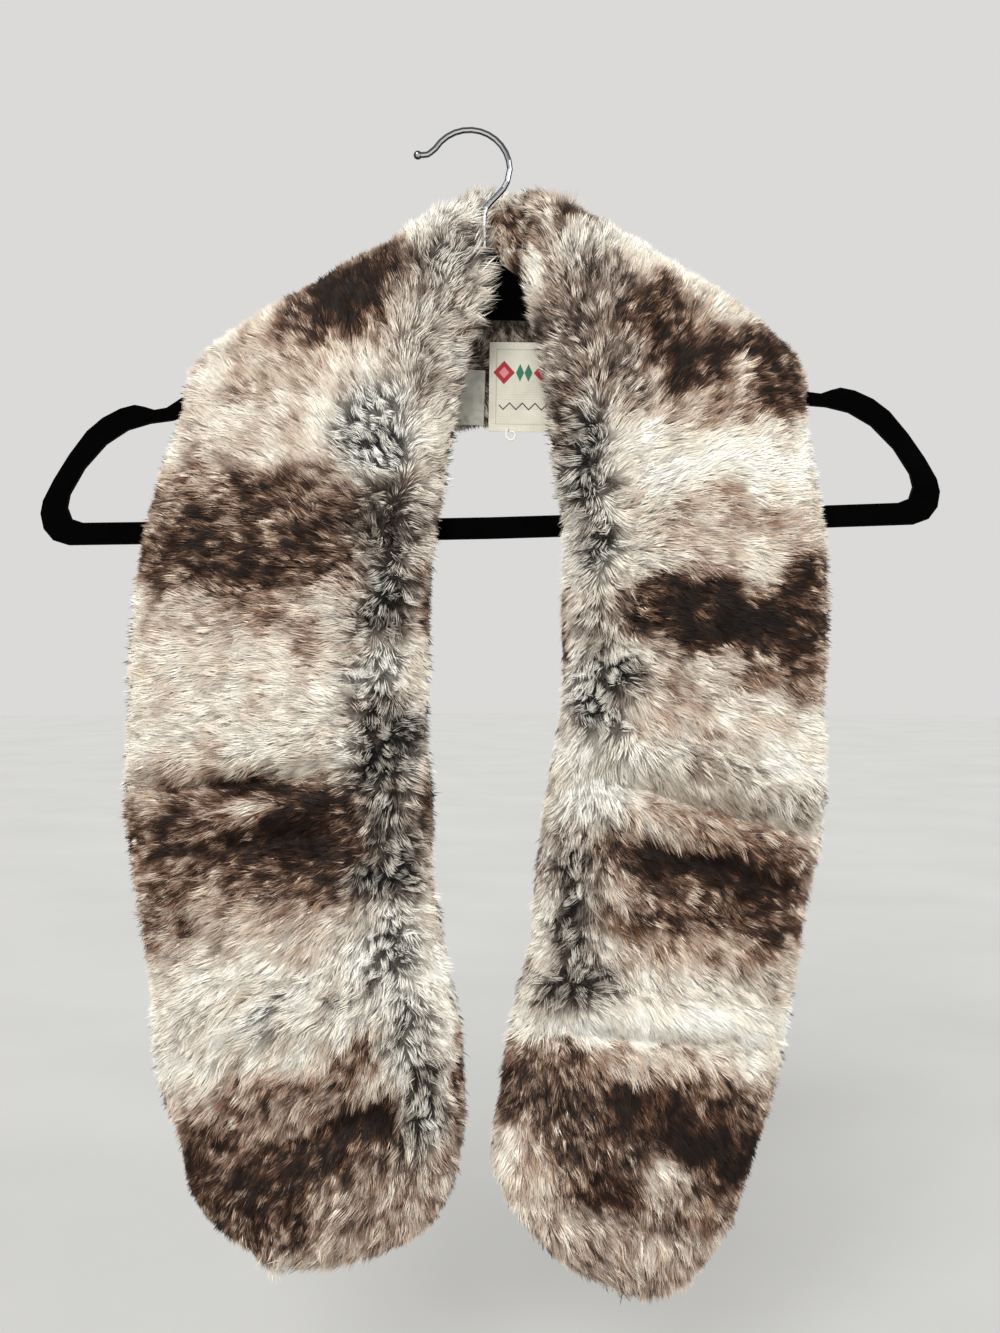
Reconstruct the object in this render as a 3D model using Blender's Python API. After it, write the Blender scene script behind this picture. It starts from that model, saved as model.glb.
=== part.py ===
"""Fur collar wrap hung on a flat flocked hanger, with a sewn label, a care label and a thread loop.

The wrap is one long flat tube of fur. It lies behind the hanger at the neck, folds forward over
both arms and hangs in front as two lapels. Each stretch of the tube is an outer and an inner half
with a thin hollow between them. Sizes are in metres: +Z is up and the front faces -Y. The origin
is the inside of the hook, where it rests on its support.
"""
from collections import namedtuple
import math

import bmesh
import bpy
from mathutils import Matrix, Vector
import numpy as np

MM = 0.001
SEAM = 0.3 * MM
HANGER_TILT = math.radians(1.4)

# The fold over each arm: a line that runs from a point on the arm up towards the neck.
Fold = namedtuple("Fold", "x z slope towards_neck")
LEFT_FOLD = Fold(x=-132.8 * MM, z=-130.5 * MM, slope=math.radians(27.0), towards_neck=1.0)
RIGHT_FOLD = Fold(x=157.0 * MM, z=-126.0 * MM, slope=math.radians(29.0), towards_neck=-1.0)
FOLD_RADIUS = 13.0 * MM
FOLD_ARC = math.pi * FOLD_RADIUS

# Distance of the middle of the tube from the hanger's plane.
LAPEL_DEPTH = 17.0 * MM
NECK_DEPTH = 15.5 * MM
FOLD_DEPTH = 14.0 * MM
FOLD_DEPTH_SLANT = 7.0 * MM
HANGER_CLEARANCE = 3.8 * MM
ARM_CLEARANCE = 6.2 * MM

# Stations down each lapel, in millimetres: the middle of the tube, half its width, and how thick
# its outer and inner halves are with their pile.
Station = namedtuple("Station", "x z half_width outer inner")
LEFT_LAPEL = (
    Station(x=-88.0, z=-556.0, half_width=10.0, outer=3.0, inner=2.5),
    Station(x=-83.5, z=-552.5, half_width=22.0, outer=6.0, inner=4.5),
    Station(x=-76.0, z=-547.5, half_width=36.0, outer=8.5, inner=6.5),
    Station(x=-73.0, z=-540.5, half_width=49.5, outer=11.0, inner=8.0),
    Station(x=-72.5, z=-524.0, half_width=63.5, outer=14.0, inner=10.5),
    Station(x=-71.5, z=-504.5, half_width=69.0, outer=15.5, inner=12.0),
    Station(x=-71.5, z=-480.0, half_width=73.0, outer=16.5, inner=12.5),
    Station(x=-77.5, z=-446.0, half_width=76.5, outer=16.5, inner=13.0),
    Station(x=-82.5, z=-407.5, half_width=73.5, outer=15.5, inner=13.0),
    Station(x=-88.5, z=-370.0, half_width=74.0, outer=16.0, inner=13.0),
    Station(x=-91.0, z=-335.0, half_width=77.0, outer=17.0, inner=13.0),
    Station(x=-92.0, z=-295.0, half_width=74.0, outer=16.5, inner=13.0),
    Station(x=-90.5, z=-252.0, half_width=74.0, outer=17.0, inner=13.0),
    Station(x=-86.5, z=-205.0, half_width=72.0, outer=17.0, inner=13.0),
    Station(x=-75.0, z=-155.0, half_width=68.0, outer=16.5, inner=12.5),
)
RIGHT_LAPEL = (
    Station(x=79.5, z=-568.5, half_width=10.0, outer=3.0, inner=2.5),
    Station(x=79.0, z=-565.0, half_width=22.0, outer=6.0, inner=4.5),
    Station(x=78.5, z=-558.0, half_width=33.0, outer=9.0, inner=6.5),
    Station(x=75.0, z=-548.5, half_width=43.0, outer=11.5, inner=8.5),
    Station(x=73.0, z=-524.0, half_width=59.5, outer=14.5, inner=11.0),
    Station(x=73.0, z=-504.5, half_width=64.5, outer=15.5, inner=12.0),
    Station(x=77.5, z=-485.0, half_width=66.5, outer=16.0, inner=12.5),
    Station(x=86.0, z=-446.0, half_width=68.0, outer=16.5, inner=13.0),
    Station(x=94.0, z=-407.5, half_width=66.5, outer=16.0, inner=13.0),
    Station(x=99.0, z=-369.0, half_width=68.5, outer=16.0, inner=13.0),
    Station(x=106.5, z=-320.0, half_width=69.0, outer=17.0, inner=13.0),
    Station(x=109.0, z=-282.0, half_width=65.5, outer=16.5, inner=13.0),
    Station(x=110.0, z=-240.0, half_width=67.0, outer=17.0, inner=13.0),
    Station(x=110.0, z=-208.0, half_width=65.0, outer=17.0, inner=13.0),
    Station(x=103.5, z=-155.0, half_width=64.0, outer=16.5, inner=12.5),
)
# The crest of each fold: how far along the fold line its middle is.
Crest = namedtuple("Crest", "along half_width outer inner")
LEFT_CREST = Crest(along=87.5, half_width=75.0, outer=11.0, inner=9.0)
RIGHT_CREST = Crest(along=80.0, half_width=73.0, outer=12.5, inner=9.0)
NECK_MIDDLE = Station(x=16.5, z=-85.6, half_width=59.5, outer=12.0, inner=10.0)

# Folds and hollows in the pile, in millimetres: where, how long and wide, which way they run in
# degrees from level, and how deep. A negative depth is a ridge.
Crease = namedtuple("Crease", "x z half_length half_width slope depth")
LEFT_CREASES = (
    Crease(x=-42.0, z=-300.0, half_length=260.0, half_width=9.0, slope=90.0, depth=3.0),
    Crease(x=-120.0, z=-322.0, half_length=60.0, half_width=7.0, slope=4.0, depth=5.0),
    Crease(x=-120.0, z=-308.0, half_length=50.0, half_width=8.0, slope=3.0, depth=-2.5),
    Crease(x=-86.0, z=-348.0, half_length=34.0, half_width=10.0, slope=8.0, depth=5.0),
    Crease(x=-140.0, z=-392.0, half_length=34.0, half_width=9.0, slope=-12.0, depth=5.0),
    Crease(x=-70.0, z=-430.0, half_length=60.0, half_width=14.0, slope=-6.0, depth=-2.5),
    Crease(x=-64.0, z=-486.0, half_length=40.0, half_width=10.0, slope=20.0, depth=3.0),
)
RIGHT_CREASES = (
    Crease(x=62.0, z=-300.0, half_length=260.0, half_width=9.0, slope=82.0, depth=3.0),
    Crease(x=128.0, z=-318.0, half_length=62.0, half_width=8.0, slope=-17.0, depth=-3.5),
    Crease(x=122.0, z=-334.0, half_length=62.0, half_width=7.0, slope=-16.0, depth=5.0),
    Crease(x=120.0, z=-362.0, half_length=56.0, half_width=9.0, slope=-20.0, depth=4.5),
    Crease(x=90.0, z=-428.0, half_length=70.0, half_width=8.0, slope=-5.0, depth=-2.5),
    Crease(x=90.0, z=-443.0, half_length=70.0, half_width=8.0, slope=-5.0, depth=4.0),
    Crease(x=66.0, z=-530.0, half_length=34.0, half_width=7.0, slope=-14.0, depth=4.5),
)

# How finely each stretch is cut into rings, and the points across its outside and backing.
ROW_STEP = 12.5 * MM
FOLD_ROW_STEP = 7.5 * MM
TIP_STEP = 3.2
OUTER_COLUMNS = 18
INNER_COLUMNS = 12
BACKING_COLUMNS = 12
HOLLOW = 1.2 * MM
SEAM_BEHIND_FOLD = 6.0 * MM

# Faces that meet at less than this are shaded as one smooth surface.
SHARP_FROM = math.radians(38.0)

# The hanger's outline in its own upright frame, in millimetres from its centre line.
HANGER_CENTRE = 6.3 * MM
HANGER_THICKNESS = 6.0 * MM
HANGER_ROUNDING = 1.2 * MM
Corner = namedtuple("Corner", "out z")
HANGER_OUTSIDE = (
    Corner(out=0.0, z=-58.0),
    Corner(out=4.6, z=-58.6),
    Corner(out=6.4, z=-61.0),
    Corner(out=8.2, z=-66.0),
    Corner(out=16.0, z=-72.0),
    Corner(out=50.0, z=-86.8),
    Corner(out=100.0, z=-106.9),
    Corner(out=149.0, z=-126.6),
    Corner(out=154.2, z=-129.9),
    Corner(out=159.2, z=-133.0),
    Corner(out=165.2, z=-133.9),
    Corner(out=170.4, z=-132.2),
    Corner(out=175.0, z=-131.2),
    Corner(out=182.0, z=-132.8),
    Corner(out=191.0, z=-137.2),
    Corner(out=199.0, z=-143.6),
    Corner(out=208.0, z=-155.0),
    Corner(out=216.0, z=-167.2),
    Corner(out=221.6, z=-177.6),
    Corner(out=223.0, z=-184.0),
    Corner(out=221.6, z=-191.6),
    Corner(out=217.0, z=-197.4),
    Corner(out=210.0, z=-199.8),
    Corner(out=150.0, z=-200.4),
    Corner(out=70.0, z=-201.4),
    Corner(out=0.0, z=-201.8),
)
HANGER_INSIDE = (
    Corner(out=0.0, z=-92.8),
    Corner(out=20.0, z=-93.6),
    Corner(out=45.0, z=-100.0),
    Corner(out=100.0, z=-119.6),
    Corner(out=146.0, z=-136.4),
    Corner(out=157.0, z=-139.2),
    Corner(out=168.0, z=-140.4),
    Corner(out=179.0, z=-143.4),
    Corner(out=190.0, z=-150.2),
    Corner(out=201.0, z=-162.0),
    Corner(out=208.6, z=-174.6),
    Corner(out=210.0, z=-181.0),
    Corner(out=208.0, z=-186.8),
    Corner(out=202.0, z=-189.0),
    Corner(out=150.0, z=-189.6),
    Corner(out=70.0, z=-190.8),
    Corner(out=0.0, z=-191.2),
)

# The hook: a bent wire with a ball at its tip, in the hanger's own frame.
WIRE_RADIUS = 1.5 * MM
HOOK_RADIUS = 20.1 * MM
HOOK_CENTRE_Z = WIRE_RADIUS - HOOK_RADIUS
HOOK_TIP = ((-25.4, -10.4), (-22.6, -10.4), (-20.6, -10.2), (-19.0, -9.2))
HOOK_ARC = (146.0, 0.0, 12)
HOOK_RETURN = ((18.7, -24.6), (16.8, -28.0), (13.6, -31.4), (10.4, -34.4), (7.9, -37.4),
               (6.6, -41.0), (6.3, -46.0), (6.3, -57.7))
HOOK_BALL_RADIUS = 2.2 * MM

# Labels lie on the inner half of the tube at the neck, in millimetres from their sewn edge.
Label = namedtuple("Label", "x z width height lean thickness lift columns rows")
WOVEN_LABEL = Label(x=29.8, z=-147.2, width=40.0, height=44.0, lean=-1.0, thickness=0.9,
                    lift=0.4, columns=10, rows=12)
CARE_LABEL = Label(x=-3.6, z=-143.5, width=22.0, height=27.0, lean=-2.0, thickness=0.6,
                   lift=0.4, columns=8, rows=8)
THREAD_RADIUS = 0.55 * MM
THREAD_LOOP = ((19.6, 3.0), (18.7, 0.6), (19.0, -1.6), (20.8, -2.8), (22.8, -2.2), (23.4, -0.4),
               (22.6, 1.0), (20.9, 1.4))


def clear_scene():
    """Empty the file."""
    for item in list(bpy.data.objects):
        bpy.data.objects.remove(item, do_unlink=True)


def material(name, colour, roughness, metallic=0.0):
    """One plain Principled material."""
    made = bpy.data.materials.new(name)
    made.use_nodes = True
    shader = made.node_tree.nodes["Principled BSDF"]
    shader.inputs["Base Color"].default_value = (*colour, 1.0)
    shader.inputs["Roughness"].default_value = roughness
    shader.inputs["Metallic"].default_value = metallic
    return made


def ease(value, start, end):
    """0 before start, 1 after end, and smooth between them."""
    share = np.clip((value - start) / (end - start), 0.0, 1.0)
    return share * share * (3.0 - 2.0 * share)


def through(knots, values, at):
    """A smooth curve through values at knots, read at the given places."""
    slopes = np.gradient(values, knots, axis=0)
    index = np.clip(np.searchsorted(knots, at, side="right") - 1, 0, len(knots) - 2)
    span = (knots[index + 1] - knots[index])[:, None]
    share = (at[:, None] - knots[index][:, None]) / span
    start = (2.0 * share**3 - 3.0 * share**2 + 1.0) * values[index]
    leave = (share**3 - 2.0 * share**2 + share) * span * slopes[index]
    finish = (3.0 * share**2 - 2.0 * share**3) * values[index + 1]
    arrive = (share**3 - share**2) * span * slopes[index + 1]
    return start + leave + finish + arrive


def fold_axes(fold):
    """The fold line's direction towards the neck, and the direction square to it and up."""
    along = np.array([fold.towards_neck * math.cos(fold.slope), math.sin(fold.slope)])
    up = np.array([-fold.towards_neck * math.sin(fold.slope), math.cos(fold.slope)])
    return along, up


def unfolded_front(fold, x, z):
    """A place in front of the hanger, in the unfolded tube's plane."""
    along, up = fold_axes(fold)
    place = np.array([x - fold.x, z - fold.z])
    return np.array([place @ along, place @ up])


def unfolded_back(fold, x, z):
    """A place behind the hanger, in the unfolded tube's plane."""
    along, up = fold_axes(fold)
    place = np.array([x - fold.x, z - fold.z])
    return np.array([place @ along, FOLD_ARC - place @ up])


class Stretch:
    """Half the wrap, from a lapel's tip to the middle of the neck, as an unfolded strip."""

    def __init__(self, fold, lapel, crest, creases):
        self.fold = fold
        self.creases = creases
        rows = [
            (*unfolded_front(fold, s.x * MM, s.z * MM), s.half_width * MM, s.outer * MM, s.inner * MM)
            for s in lapel
        ]
        rows.append((crest.along * MM, FOLD_ARC / 2.0, crest.half_width * MM, crest.outer * MM,
                     crest.inner * MM))
        middle = NECK_MIDDLE
        sizes = (middle.half_width * MM, middle.outer * MM, middle.inner * MM)
        rows.append((*unfolded_back(fold, middle.x * MM, middle.z * MM), *sizes))
        beyond = fold.towards_neck * 60.0
        rows.append((*unfolded_back(fold, (middle.x + beyond) * MM, middle.z * MM), *sizes))
        self.rows = np.array(rows)
        steps = np.linalg.norm(np.diff(self.rows[:, :2], axis=0), axis=1)
        self.knots = np.concatenate([[0.0], np.cumsum(steps)])
        self.straight_from = self.knots[5]
        self.crest_at = self.knots[-3]
        self.middle_at = self.knots[-2]

    def read(self, at):
        """The strip's middle, the direction across it, and its sizes, at distances from the tip."""
        values = through(self.knots, self.rows, at)
        calm = np.maximum(at, self.straight_from)
        ahead = through(self.knots, self.rows, calm + 4.0 * MM)[:, :2]
        behind = through(self.knots, self.rows, calm - 4.0 * MM)[:, :2]
        tangent = ahead - behind
        tangent /= np.linalg.norm(tangent, axis=1)[:, None]
        across = np.stack([tangent[:, 1], -tangent[:, 0]], axis=1)
        return values, across

    def seam_at(self):
        """Where the lapel ends and the neck begins, just behind the fold."""
        at = np.linspace(self.crest_at, self.middle_at, 200)
        values, _ = self.read(at)
        return float(np.interp(FOLD_ARC + SEAM_BEHIND_FOLD, values[:, 1], at))

    def behind(self, at):
        """0 while the tube still folds over the arm, and 1 in the middle of the neck."""
        return ease(at, self.crest_at + 20.0 * MM, self.middle_at)[:, None]

    def middle(self, at, share):
        """The middle of the tube, where its two halves meet, folded over the arm."""
        values, across = self.read(at)
        reach = share[None, :] * values[:, 2][:, None]
        plane = values[:, None, :2] + reach[:, :, None] * across[:, None, :]
        depth = self.depth(plane[:, :, 1], share[None, :], self.behind(at))
        return self.placed(plane, depth, self.behind(at)), plane, depth, values

    def outwards(self, at, share):
        """The direction square to the middle of the tube, away from the hanger."""
        small = 1.0 * MM
        rise = self.middle(at + small, share)[0] - self.middle(at - small, share)[0]
        over = self.middle(at, share + 0.01)[0] - self.middle(at, share - 0.01)[0]
        square = np.cross(over, rise) * self.fold.towards_neck
        return square / np.linalg.norm(square, axis=2)[:, :, None]

    def surface(self, at, share, side, backing):
        """Points of one half of the tube, for each distance from the tip and share of its width.

        side is 1 for the outer half and -1 for the inner one. The backing faces the hollow.
        """
        points, plane, depth, values = self.middle(at, share)
        profile = np.maximum(1.0 - np.abs(share) ** 2.6, 0.0)[None, :] ** 0.5
        rim = SEAM / 2.0
        thick = values[:, 3 if side > 0 else 4][:, None] * profile
        if side > 0:
            far = np.maximum(thick - self.crease_depth(plane, profile), rim)
        else:
            turn = np.clip(plane[:, :, 1] / FOLD_RADIUS, 0.0, math.pi)
            over_arm = np.sin(turn) * (1.0 - self.behind(at))
            clearance = HANGER_CLEARANCE + (ARM_CLEARANCE - HANGER_CLEARANCE) * over_arm
            far = np.maximum(np.minimum(thick, depth - clearance), rim)
        near = rim + np.minimum(HOLLOW, 0.35 * (far - rim)) * (1.0 - share**2) ** 1.5
        height = (near if backing else far) * side
        return points + height[:, :, None] * self.outwards(at, share)

    def depth(self, b, share, behind):
        """How far the middle of the tube is from the hanger's plane."""
        at_fold = FOLD_DEPTH + FOLD_DEPTH_SLANT * share
        front = ease(b, -70.0 * MM, 4.0 * MM)
        back = np.maximum(ease(b, FOLD_ARC - 4.0 * MM, FOLD_ARC + 50.0 * MM), behind)
        depth = LAPEL_DEPTH + (at_fold - LAPEL_DEPTH) * front
        return depth + (NECK_DEPTH - depth) * back

    def crease_depth(self, plane, profile):
        """How far folds in the pile lower the outer half in front."""
        along, up = fold_axes(self.fold)
        x = self.fold.x + plane[:, :, 0] * along[0] + plane[:, :, 1] * up[0]
        z = self.fold.z + plane[:, :, 0] * along[1] + plane[:, :, 1] * up[1]
        in_front = 1.0 - ease(plane[:, :, 1], -30.0 * MM, 0.0)
        total = np.zeros(x.shape)
        for crease in self.creases:
            slope = math.radians(crease.slope)
            dx = x / MM - crease.x
            dz = z / MM - crease.z
            run = (dx * math.cos(slope) + dz * math.sin(slope)) / crease.half_length
            off = (dz * math.cos(slope) - dx * math.sin(slope)) / crease.half_width
            total += crease.depth * MM * np.exp(-(run**4)) * np.exp(-(off**2))
        return total * in_front * profile

    def placed(self, plane, distance, behind):
        """Fold points of the unfolded plane over the arm, this far from the hanger's plane."""
        along, up = fold_axes(self.fold)
        a = plane[:, :, 0]
        b = plane[:, :, 1]
        turn = np.clip(b / FOLD_RADIUS, 0.0, math.pi)
        over = np.minimum(b, 0.0) - np.maximum(b - FOLD_ARC, 0.0)
        rise = over + distance * np.sin(turn)
        rise = rise + (FOLD_ARC - b - rise) * behind
        y = -distance * np.cos(turn)
        y = y + (distance - y) * behind
        x = self.fold.x + a * along[0] + rise * up[0]
        z = self.fold.z + a * along[1] + rise * up[1]
        return np.stack([x, y, z], axis=2)


def shell_object(name, far_grid, near_grid, far_shares, near_shares, look):
    """A closed half of the tube: rings of the far side and the backing, capped at both ends."""
    mesh = bmesh.new()
    rings = []
    for far, near in zip(far_grid, near_grid):
        outside = [mesh.verts.new(point) for point in far]
        inside = [mesh.verts.new(point) for point in near[1:-1]]
        rings.append((outside, [outside[0], *inside, outside[-1]]))
    for lower, upper in zip(rings, rings[1:]):
        for line, above in zip(lower, upper):
            for i in range(len(line) - 1):
                mesh.faces.new((line[i], line[i + 1], above[i + 1], above[i]))
    for outside, inside in (rings[0], rings[-1]):
        close_end(mesh, outside, inside, far_shares, near_shares)
    return object_from(name, mesh, look)


def close_end(mesh, outside, inside, far_shares, near_shares):
    """Fill the end of a half tube between its far side and its backing."""
    i = 0
    j = 0
    while i < len(outside) - 1 or j < len(inside) - 1:
        on_far = i < len(outside) - 1 and (
            j == len(inside) - 1 or far_shares[i + 1] <= near_shares[j + 1]
        )
        corners = (outside[i], inside[j], outside[i + 1] if on_far else inside[j + 1])
        if len(set(corners)) == 3:
            mesh.faces.new(corners)
        i += 1 if on_far else 0
        j += 0 if on_far else 1


def shade_round(data):
    """Shade a mesh smooth, apart from its sharp edges."""
    data.shade_smooth()
    data.set_sharp_from_angle(angle=SHARP_FROM)


def object_from(name, mesh, look):
    """Turn a bmesh into a named object whose faces look outwards."""
    bmesh.ops.recalc_face_normals(mesh, faces=mesh.faces)
    data = bpy.data.meshes.new(name)
    mesh.to_mesh(data)
    mesh.free()
    shade_round(data)
    made = bpy.data.objects.new(name, data)
    made.data.materials.append(look)
    return made


def columns(count):
    """Shares of the width, closer together towards the edges."""
    even = np.linspace(-1.0, 1.0, count + 1)
    return 0.4 * even + 0.6 * np.sin(even * math.pi / 2.0)


def rows_between(start, end, step):
    """Evenly spaced distances along a stretch."""
    count = max(int(round((end - start) / step)), 1)
    return np.linspace(start, end, count + 1)


def lapel_half(name, stretch, side, look):
    """The outer or inner half of one lapel, from its tip to just behind the fold."""
    tip = np.sort(np.concatenate([stretch.knots[:6], stretch.knots[2:5] + TIP_STEP * MM]))
    bend = stretch.crest_at - 60.0 * MM
    hanging = rows_between(tip[-1], bend, ROW_STEP)
    folded = rows_between(bend, stretch.seam_at() - SEAM, FOLD_ROW_STEP)
    at = np.concatenate([tip[:-1], hanging[:-1], folded])
    across = columns(OUTER_COLUMNS if side > 0 else INNER_COLUMNS)
    backing = columns(BACKING_COLUMNS)
    far = stretch.surface(at, across, side, backing=False)
    near = stretch.surface(at, backing, side, backing=True)
    return shell_object(name, far, near, across, backing, look)


def neck_grids(left, right, across, side, backing):
    """Rows of the neck from the left seam, through its middle, to the right seam."""
    grids = []
    for stretch in (left, right):
        at = rows_between(stretch.seam_at() + SEAM, stretch.middle_at, FOLD_ROW_STEP)
        grids.append(stretch.surface(at, across, side, backing))
    middle = (grids[0][-1] + grids[1][-1]) / 2.0
    return np.concatenate([grids[0][:-1], middle[None], grids[1][-2::-1]])


def neck_half(name, left, right, side, look):
    """The outer or inner half of the neck, behind the hanger."""
    across = columns(OUTER_COLUMNS if side > 0 else INNER_COLUMNS)
    backing = columns(BACKING_COLUMNS)
    far = neck_grids(left, right, across, side, backing=False)
    near = neck_grids(left, right, backing, side, backing=True)
    return shell_object(name, far, near, across, backing, look)


def hanger_turn():
    """The hanger hangs a little lower on its left."""
    return Matrix.Rotation(-HANGER_TILT, 4, "Y")


def closed_spline(curve, corners):
    """A closed outline in a flat curve, from one half of it and its mirror image."""
    half = [(HANGER_CENTRE + corner.out * MM, corner.z * MM) for corner in corners]
    mirrored = [(HANGER_CENTRE - corner.out * MM, corner.z * MM) for corner in corners[-2:0:-1]]
    spline = curve.splines.new("POLY")
    points = half + mirrored
    spline.points.add(len(points) - 1)
    for point, (x, z) in zip(spline.points, points):
        point.co = (x, z, 0.0, 1.0)
    spline.use_cyclic_u = True


def meshed(name, curve, look, turn, merge=0.02 * MM):
    """A curve object made into a mesh in the shared frame."""
    source = bpy.data.objects.new(name + "_curve", curve)
    bpy.context.scene.collection.objects.link(source)
    bpy.context.view_layer.update()
    data = bpy.data.meshes.new_from_object(source.evaluated_get(bpy.context.evaluated_depsgraph_get()))
    bpy.data.objects.remove(source, do_unlink=True)
    mesh = bmesh.new()
    mesh.from_mesh(data)
    bpy.data.meshes.remove(data)
    bmesh.ops.remove_doubles(mesh, verts=mesh.verts, dist=merge)
    bmesh.ops.transform(mesh, matrix=turn, verts=mesh.verts)
    return object_from(name, mesh, look)


def hanger_body(look):
    """The flat body: arms, rounded ends with strap notches, and a bar."""
    curve = bpy.data.curves.new("hanger_outline", "CURVE")
    curve.dimensions = "2D"
    curve.fill_mode = "BOTH"
    curve.extrude = HANGER_THICKNESS / 2.0 - HANGER_ROUNDING
    curve.bevel_depth = HANGER_ROUNDING
    curve.offset = -HANGER_ROUNDING
    curve.bevel_resolution = 1
    closed_spline(curve, HANGER_OUTSIDE)
    closed_spline(curve, HANGER_INSIDE)
    upright = Matrix.Rotation(math.pi / 2.0, 4, "X")
    return meshed("hanger_body", curve, look, hanger_turn() @ upright)


def wire(name, points, radius, look, turn):
    """A round wire along points, with closed ends."""
    curve = bpy.data.curves.new(name + "_line", "CURVE")
    curve.dimensions = "3D"
    curve.bevel_depth = radius
    curve.bevel_resolution = 3
    curve.use_fill_caps = True
    spline = curve.splines.new("POLY")
    spline.points.add(len(points) - 1)
    for point, place in zip(spline.points, points):
        point.co = (*place, 1.0)
    return meshed(name, curve, look, turn)


def hook_line():
    """The middle of the hook's wire, from its tip to the hanger's body."""
    start, end, count = HOOK_ARC
    arc = []
    for i in range(count + 1):
        angle = math.radians(start + (end - start) * i / count)
        arc.append((HOOK_RADIUS * math.cos(angle), HOOK_CENTRE_Z + HOOK_RADIUS * math.sin(angle)))
    tip = [(x * MM, z * MM) for x, z in HOOK_TIP]
    back = [(x * MM, z * MM) for x, z in HOOK_RETURN]
    return [(x, 0.0, z) for x, z in tip + arc + back]


def hook(look):
    """The wire hook with a ball at its tip."""
    line = hook_line()
    made = wire("hook", line, WIRE_RADIUS, look, hanger_turn())
    ball = bmesh.new()
    place = Matrix.Translation(hanger_turn() @ Vector(line[0]))
    bmesh.ops.create_uvsphere(ball, u_segments=16, v_segments=10, radius=HOOK_BALL_RADIUS,
                              matrix=place)
    tip = object_from("hook_tip", ball, look)
    bpy.context.scene.collection.objects.link(made)
    bpy.context.scene.collection.objects.link(tip)
    joint = made.modifiers.new("tip", "BOOLEAN")
    joint.operation = "UNION"
    joint.solver = "EXACT"
    joint.object = tip
    bpy.context.view_layer.update()
    data = bpy.data.meshes.new_from_object(made.evaluated_get(bpy.context.evaluated_depsgraph_get()))
    bpy.data.objects.remove(tip, do_unlink=True)
    bpy.data.objects.remove(made, do_unlink=True)
    shade_round(data)
    return bpy.data.objects.new("hook", data)


def neck_front(stretches, x, z):
    """How far in front the inner half of the neck is at a place, in metres of y."""
    across = np.linspace(-1.0, 1.0, 121)
    points = []
    for stretch in stretches:
        at = np.linspace(stretch.seam_at() - 20.0 * MM, stretch.middle_at, 60)
        points.append(stretch.surface(at, across, -1, backing=False).reshape(-1, 3))
    cloud = np.concatenate(points)
    far = (cloud[:, 0] - x) ** 2 + (cloud[:, 2] - z) ** 2
    return float(cloud[far < (3.0 * MM) ** 2][:, 1].min(initial=NECK_DEPTH))


def label(name, sizes, stretches, look):
    """A flat label on the inner half of the neck, which follows its swell."""
    lean = math.radians(sizes.lean)
    mesh = bmesh.new()
    layers = []
    for lift in (sizes.lift, sizes.lift + sizes.thickness):
        grid = []
        for j in range(sizes.rows + 1):
            row = []
            for i in range(sizes.columns + 1):
                across = (i / sizes.columns - 0.5) * sizes.width
                rise = j / sizes.rows * sizes.height
                x = (sizes.x + across * math.cos(lean) - rise * math.sin(lean)) * MM
                z = (sizes.z + across * math.sin(lean) + rise * math.cos(lean)) * MM
                y = min(neck_front(stretches, x, z), 9.0 * MM) - lift * MM
                row.append(mesh.verts.new((x, y, z)))
            grid.append(row)
        layers.append(grid)
    back, front = layers
    for j in range(sizes.rows):
        for i in range(sizes.columns):
            for grid in layers:
                mesh.faces.new((grid[j][i], grid[j][i + 1], grid[j + 1][i + 1], grid[j + 1][i]))
    around = [(0, i) for i in range(sizes.columns)]
    around += [(j, sizes.columns) for j in range(sizes.rows)]
    around += [(sizes.rows, i) for i in range(sizes.columns, 0, -1)]
    around += [(j, 0) for j in range(sizes.rows, 0, -1)]
    for (j, i), (n, m) in zip(around, around[1:] + around[:1]):
        mesh.faces.new((back[j][i], back[n][m], front[n][m], front[j][i]))
    return object_from(name, mesh, look)


def thread_loop(look):
    """The small loop of thread at the label's sewn edge."""
    z = WOVEN_LABEL.z - 1.4
    points = [(x * MM, 7.0 * MM, (z + rise) * MM) for x, rise in THREAD_LOOP]
    return wire("thread_loop", points, THREAD_RADIUS, look, Matrix.Identity(4))


def build():
    """Make every piece and put it in one collection."""
    clear_scene()
    fur = material("fur", (0.60, 0.53, 0.48), 0.9)
    flock = material("black_flock", (0.012, 0.012, 0.013), 0.95)
    chrome = material("chrome", (0.75, 0.75, 0.76), 0.12, metallic=1.0)
    woven = material("woven_label", (0.86, 0.83, 0.74), 0.8)
    satin = material("satin_label", (0.86, 0.85, 0.81), 0.5)
    thread = material("white_thread", (0.85, 0.84, 0.80), 0.8)
    left = Stretch(LEFT_FOLD, LEFT_LAPEL, LEFT_CREST, LEFT_CREASES)
    right = Stretch(RIGHT_FOLD, RIGHT_LAPEL, RIGHT_CREST, RIGHT_CREASES)
    pieces = [
        lapel_half("left_front_fur", left, 1, fur),
        lapel_half("left_back_fur", left, -1, fur),
        neck_half("neck_outer_fur", left, right, 1, fur),
        neck_half("neck_inner_fur", left, right, -1, fur),
        lapel_half("right_front_fur", right, 1, fur),
        lapel_half("right_back_fur", right, -1, fur),
        label("woven_label", WOVEN_LABEL, (left, right), woven),
        label("care_label", CARE_LABEL, (left, right), satin),
        thread_loop(thread),
        hanger_body(flock),
        hook(chrome),
    ]
    group = bpy.data.collections.new("fur_collar_wrap_on_hanger")
    bpy.context.scene.collection.children.link(group)
    for piece in pieces:
        group.objects.link(piece)


build()
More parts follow.
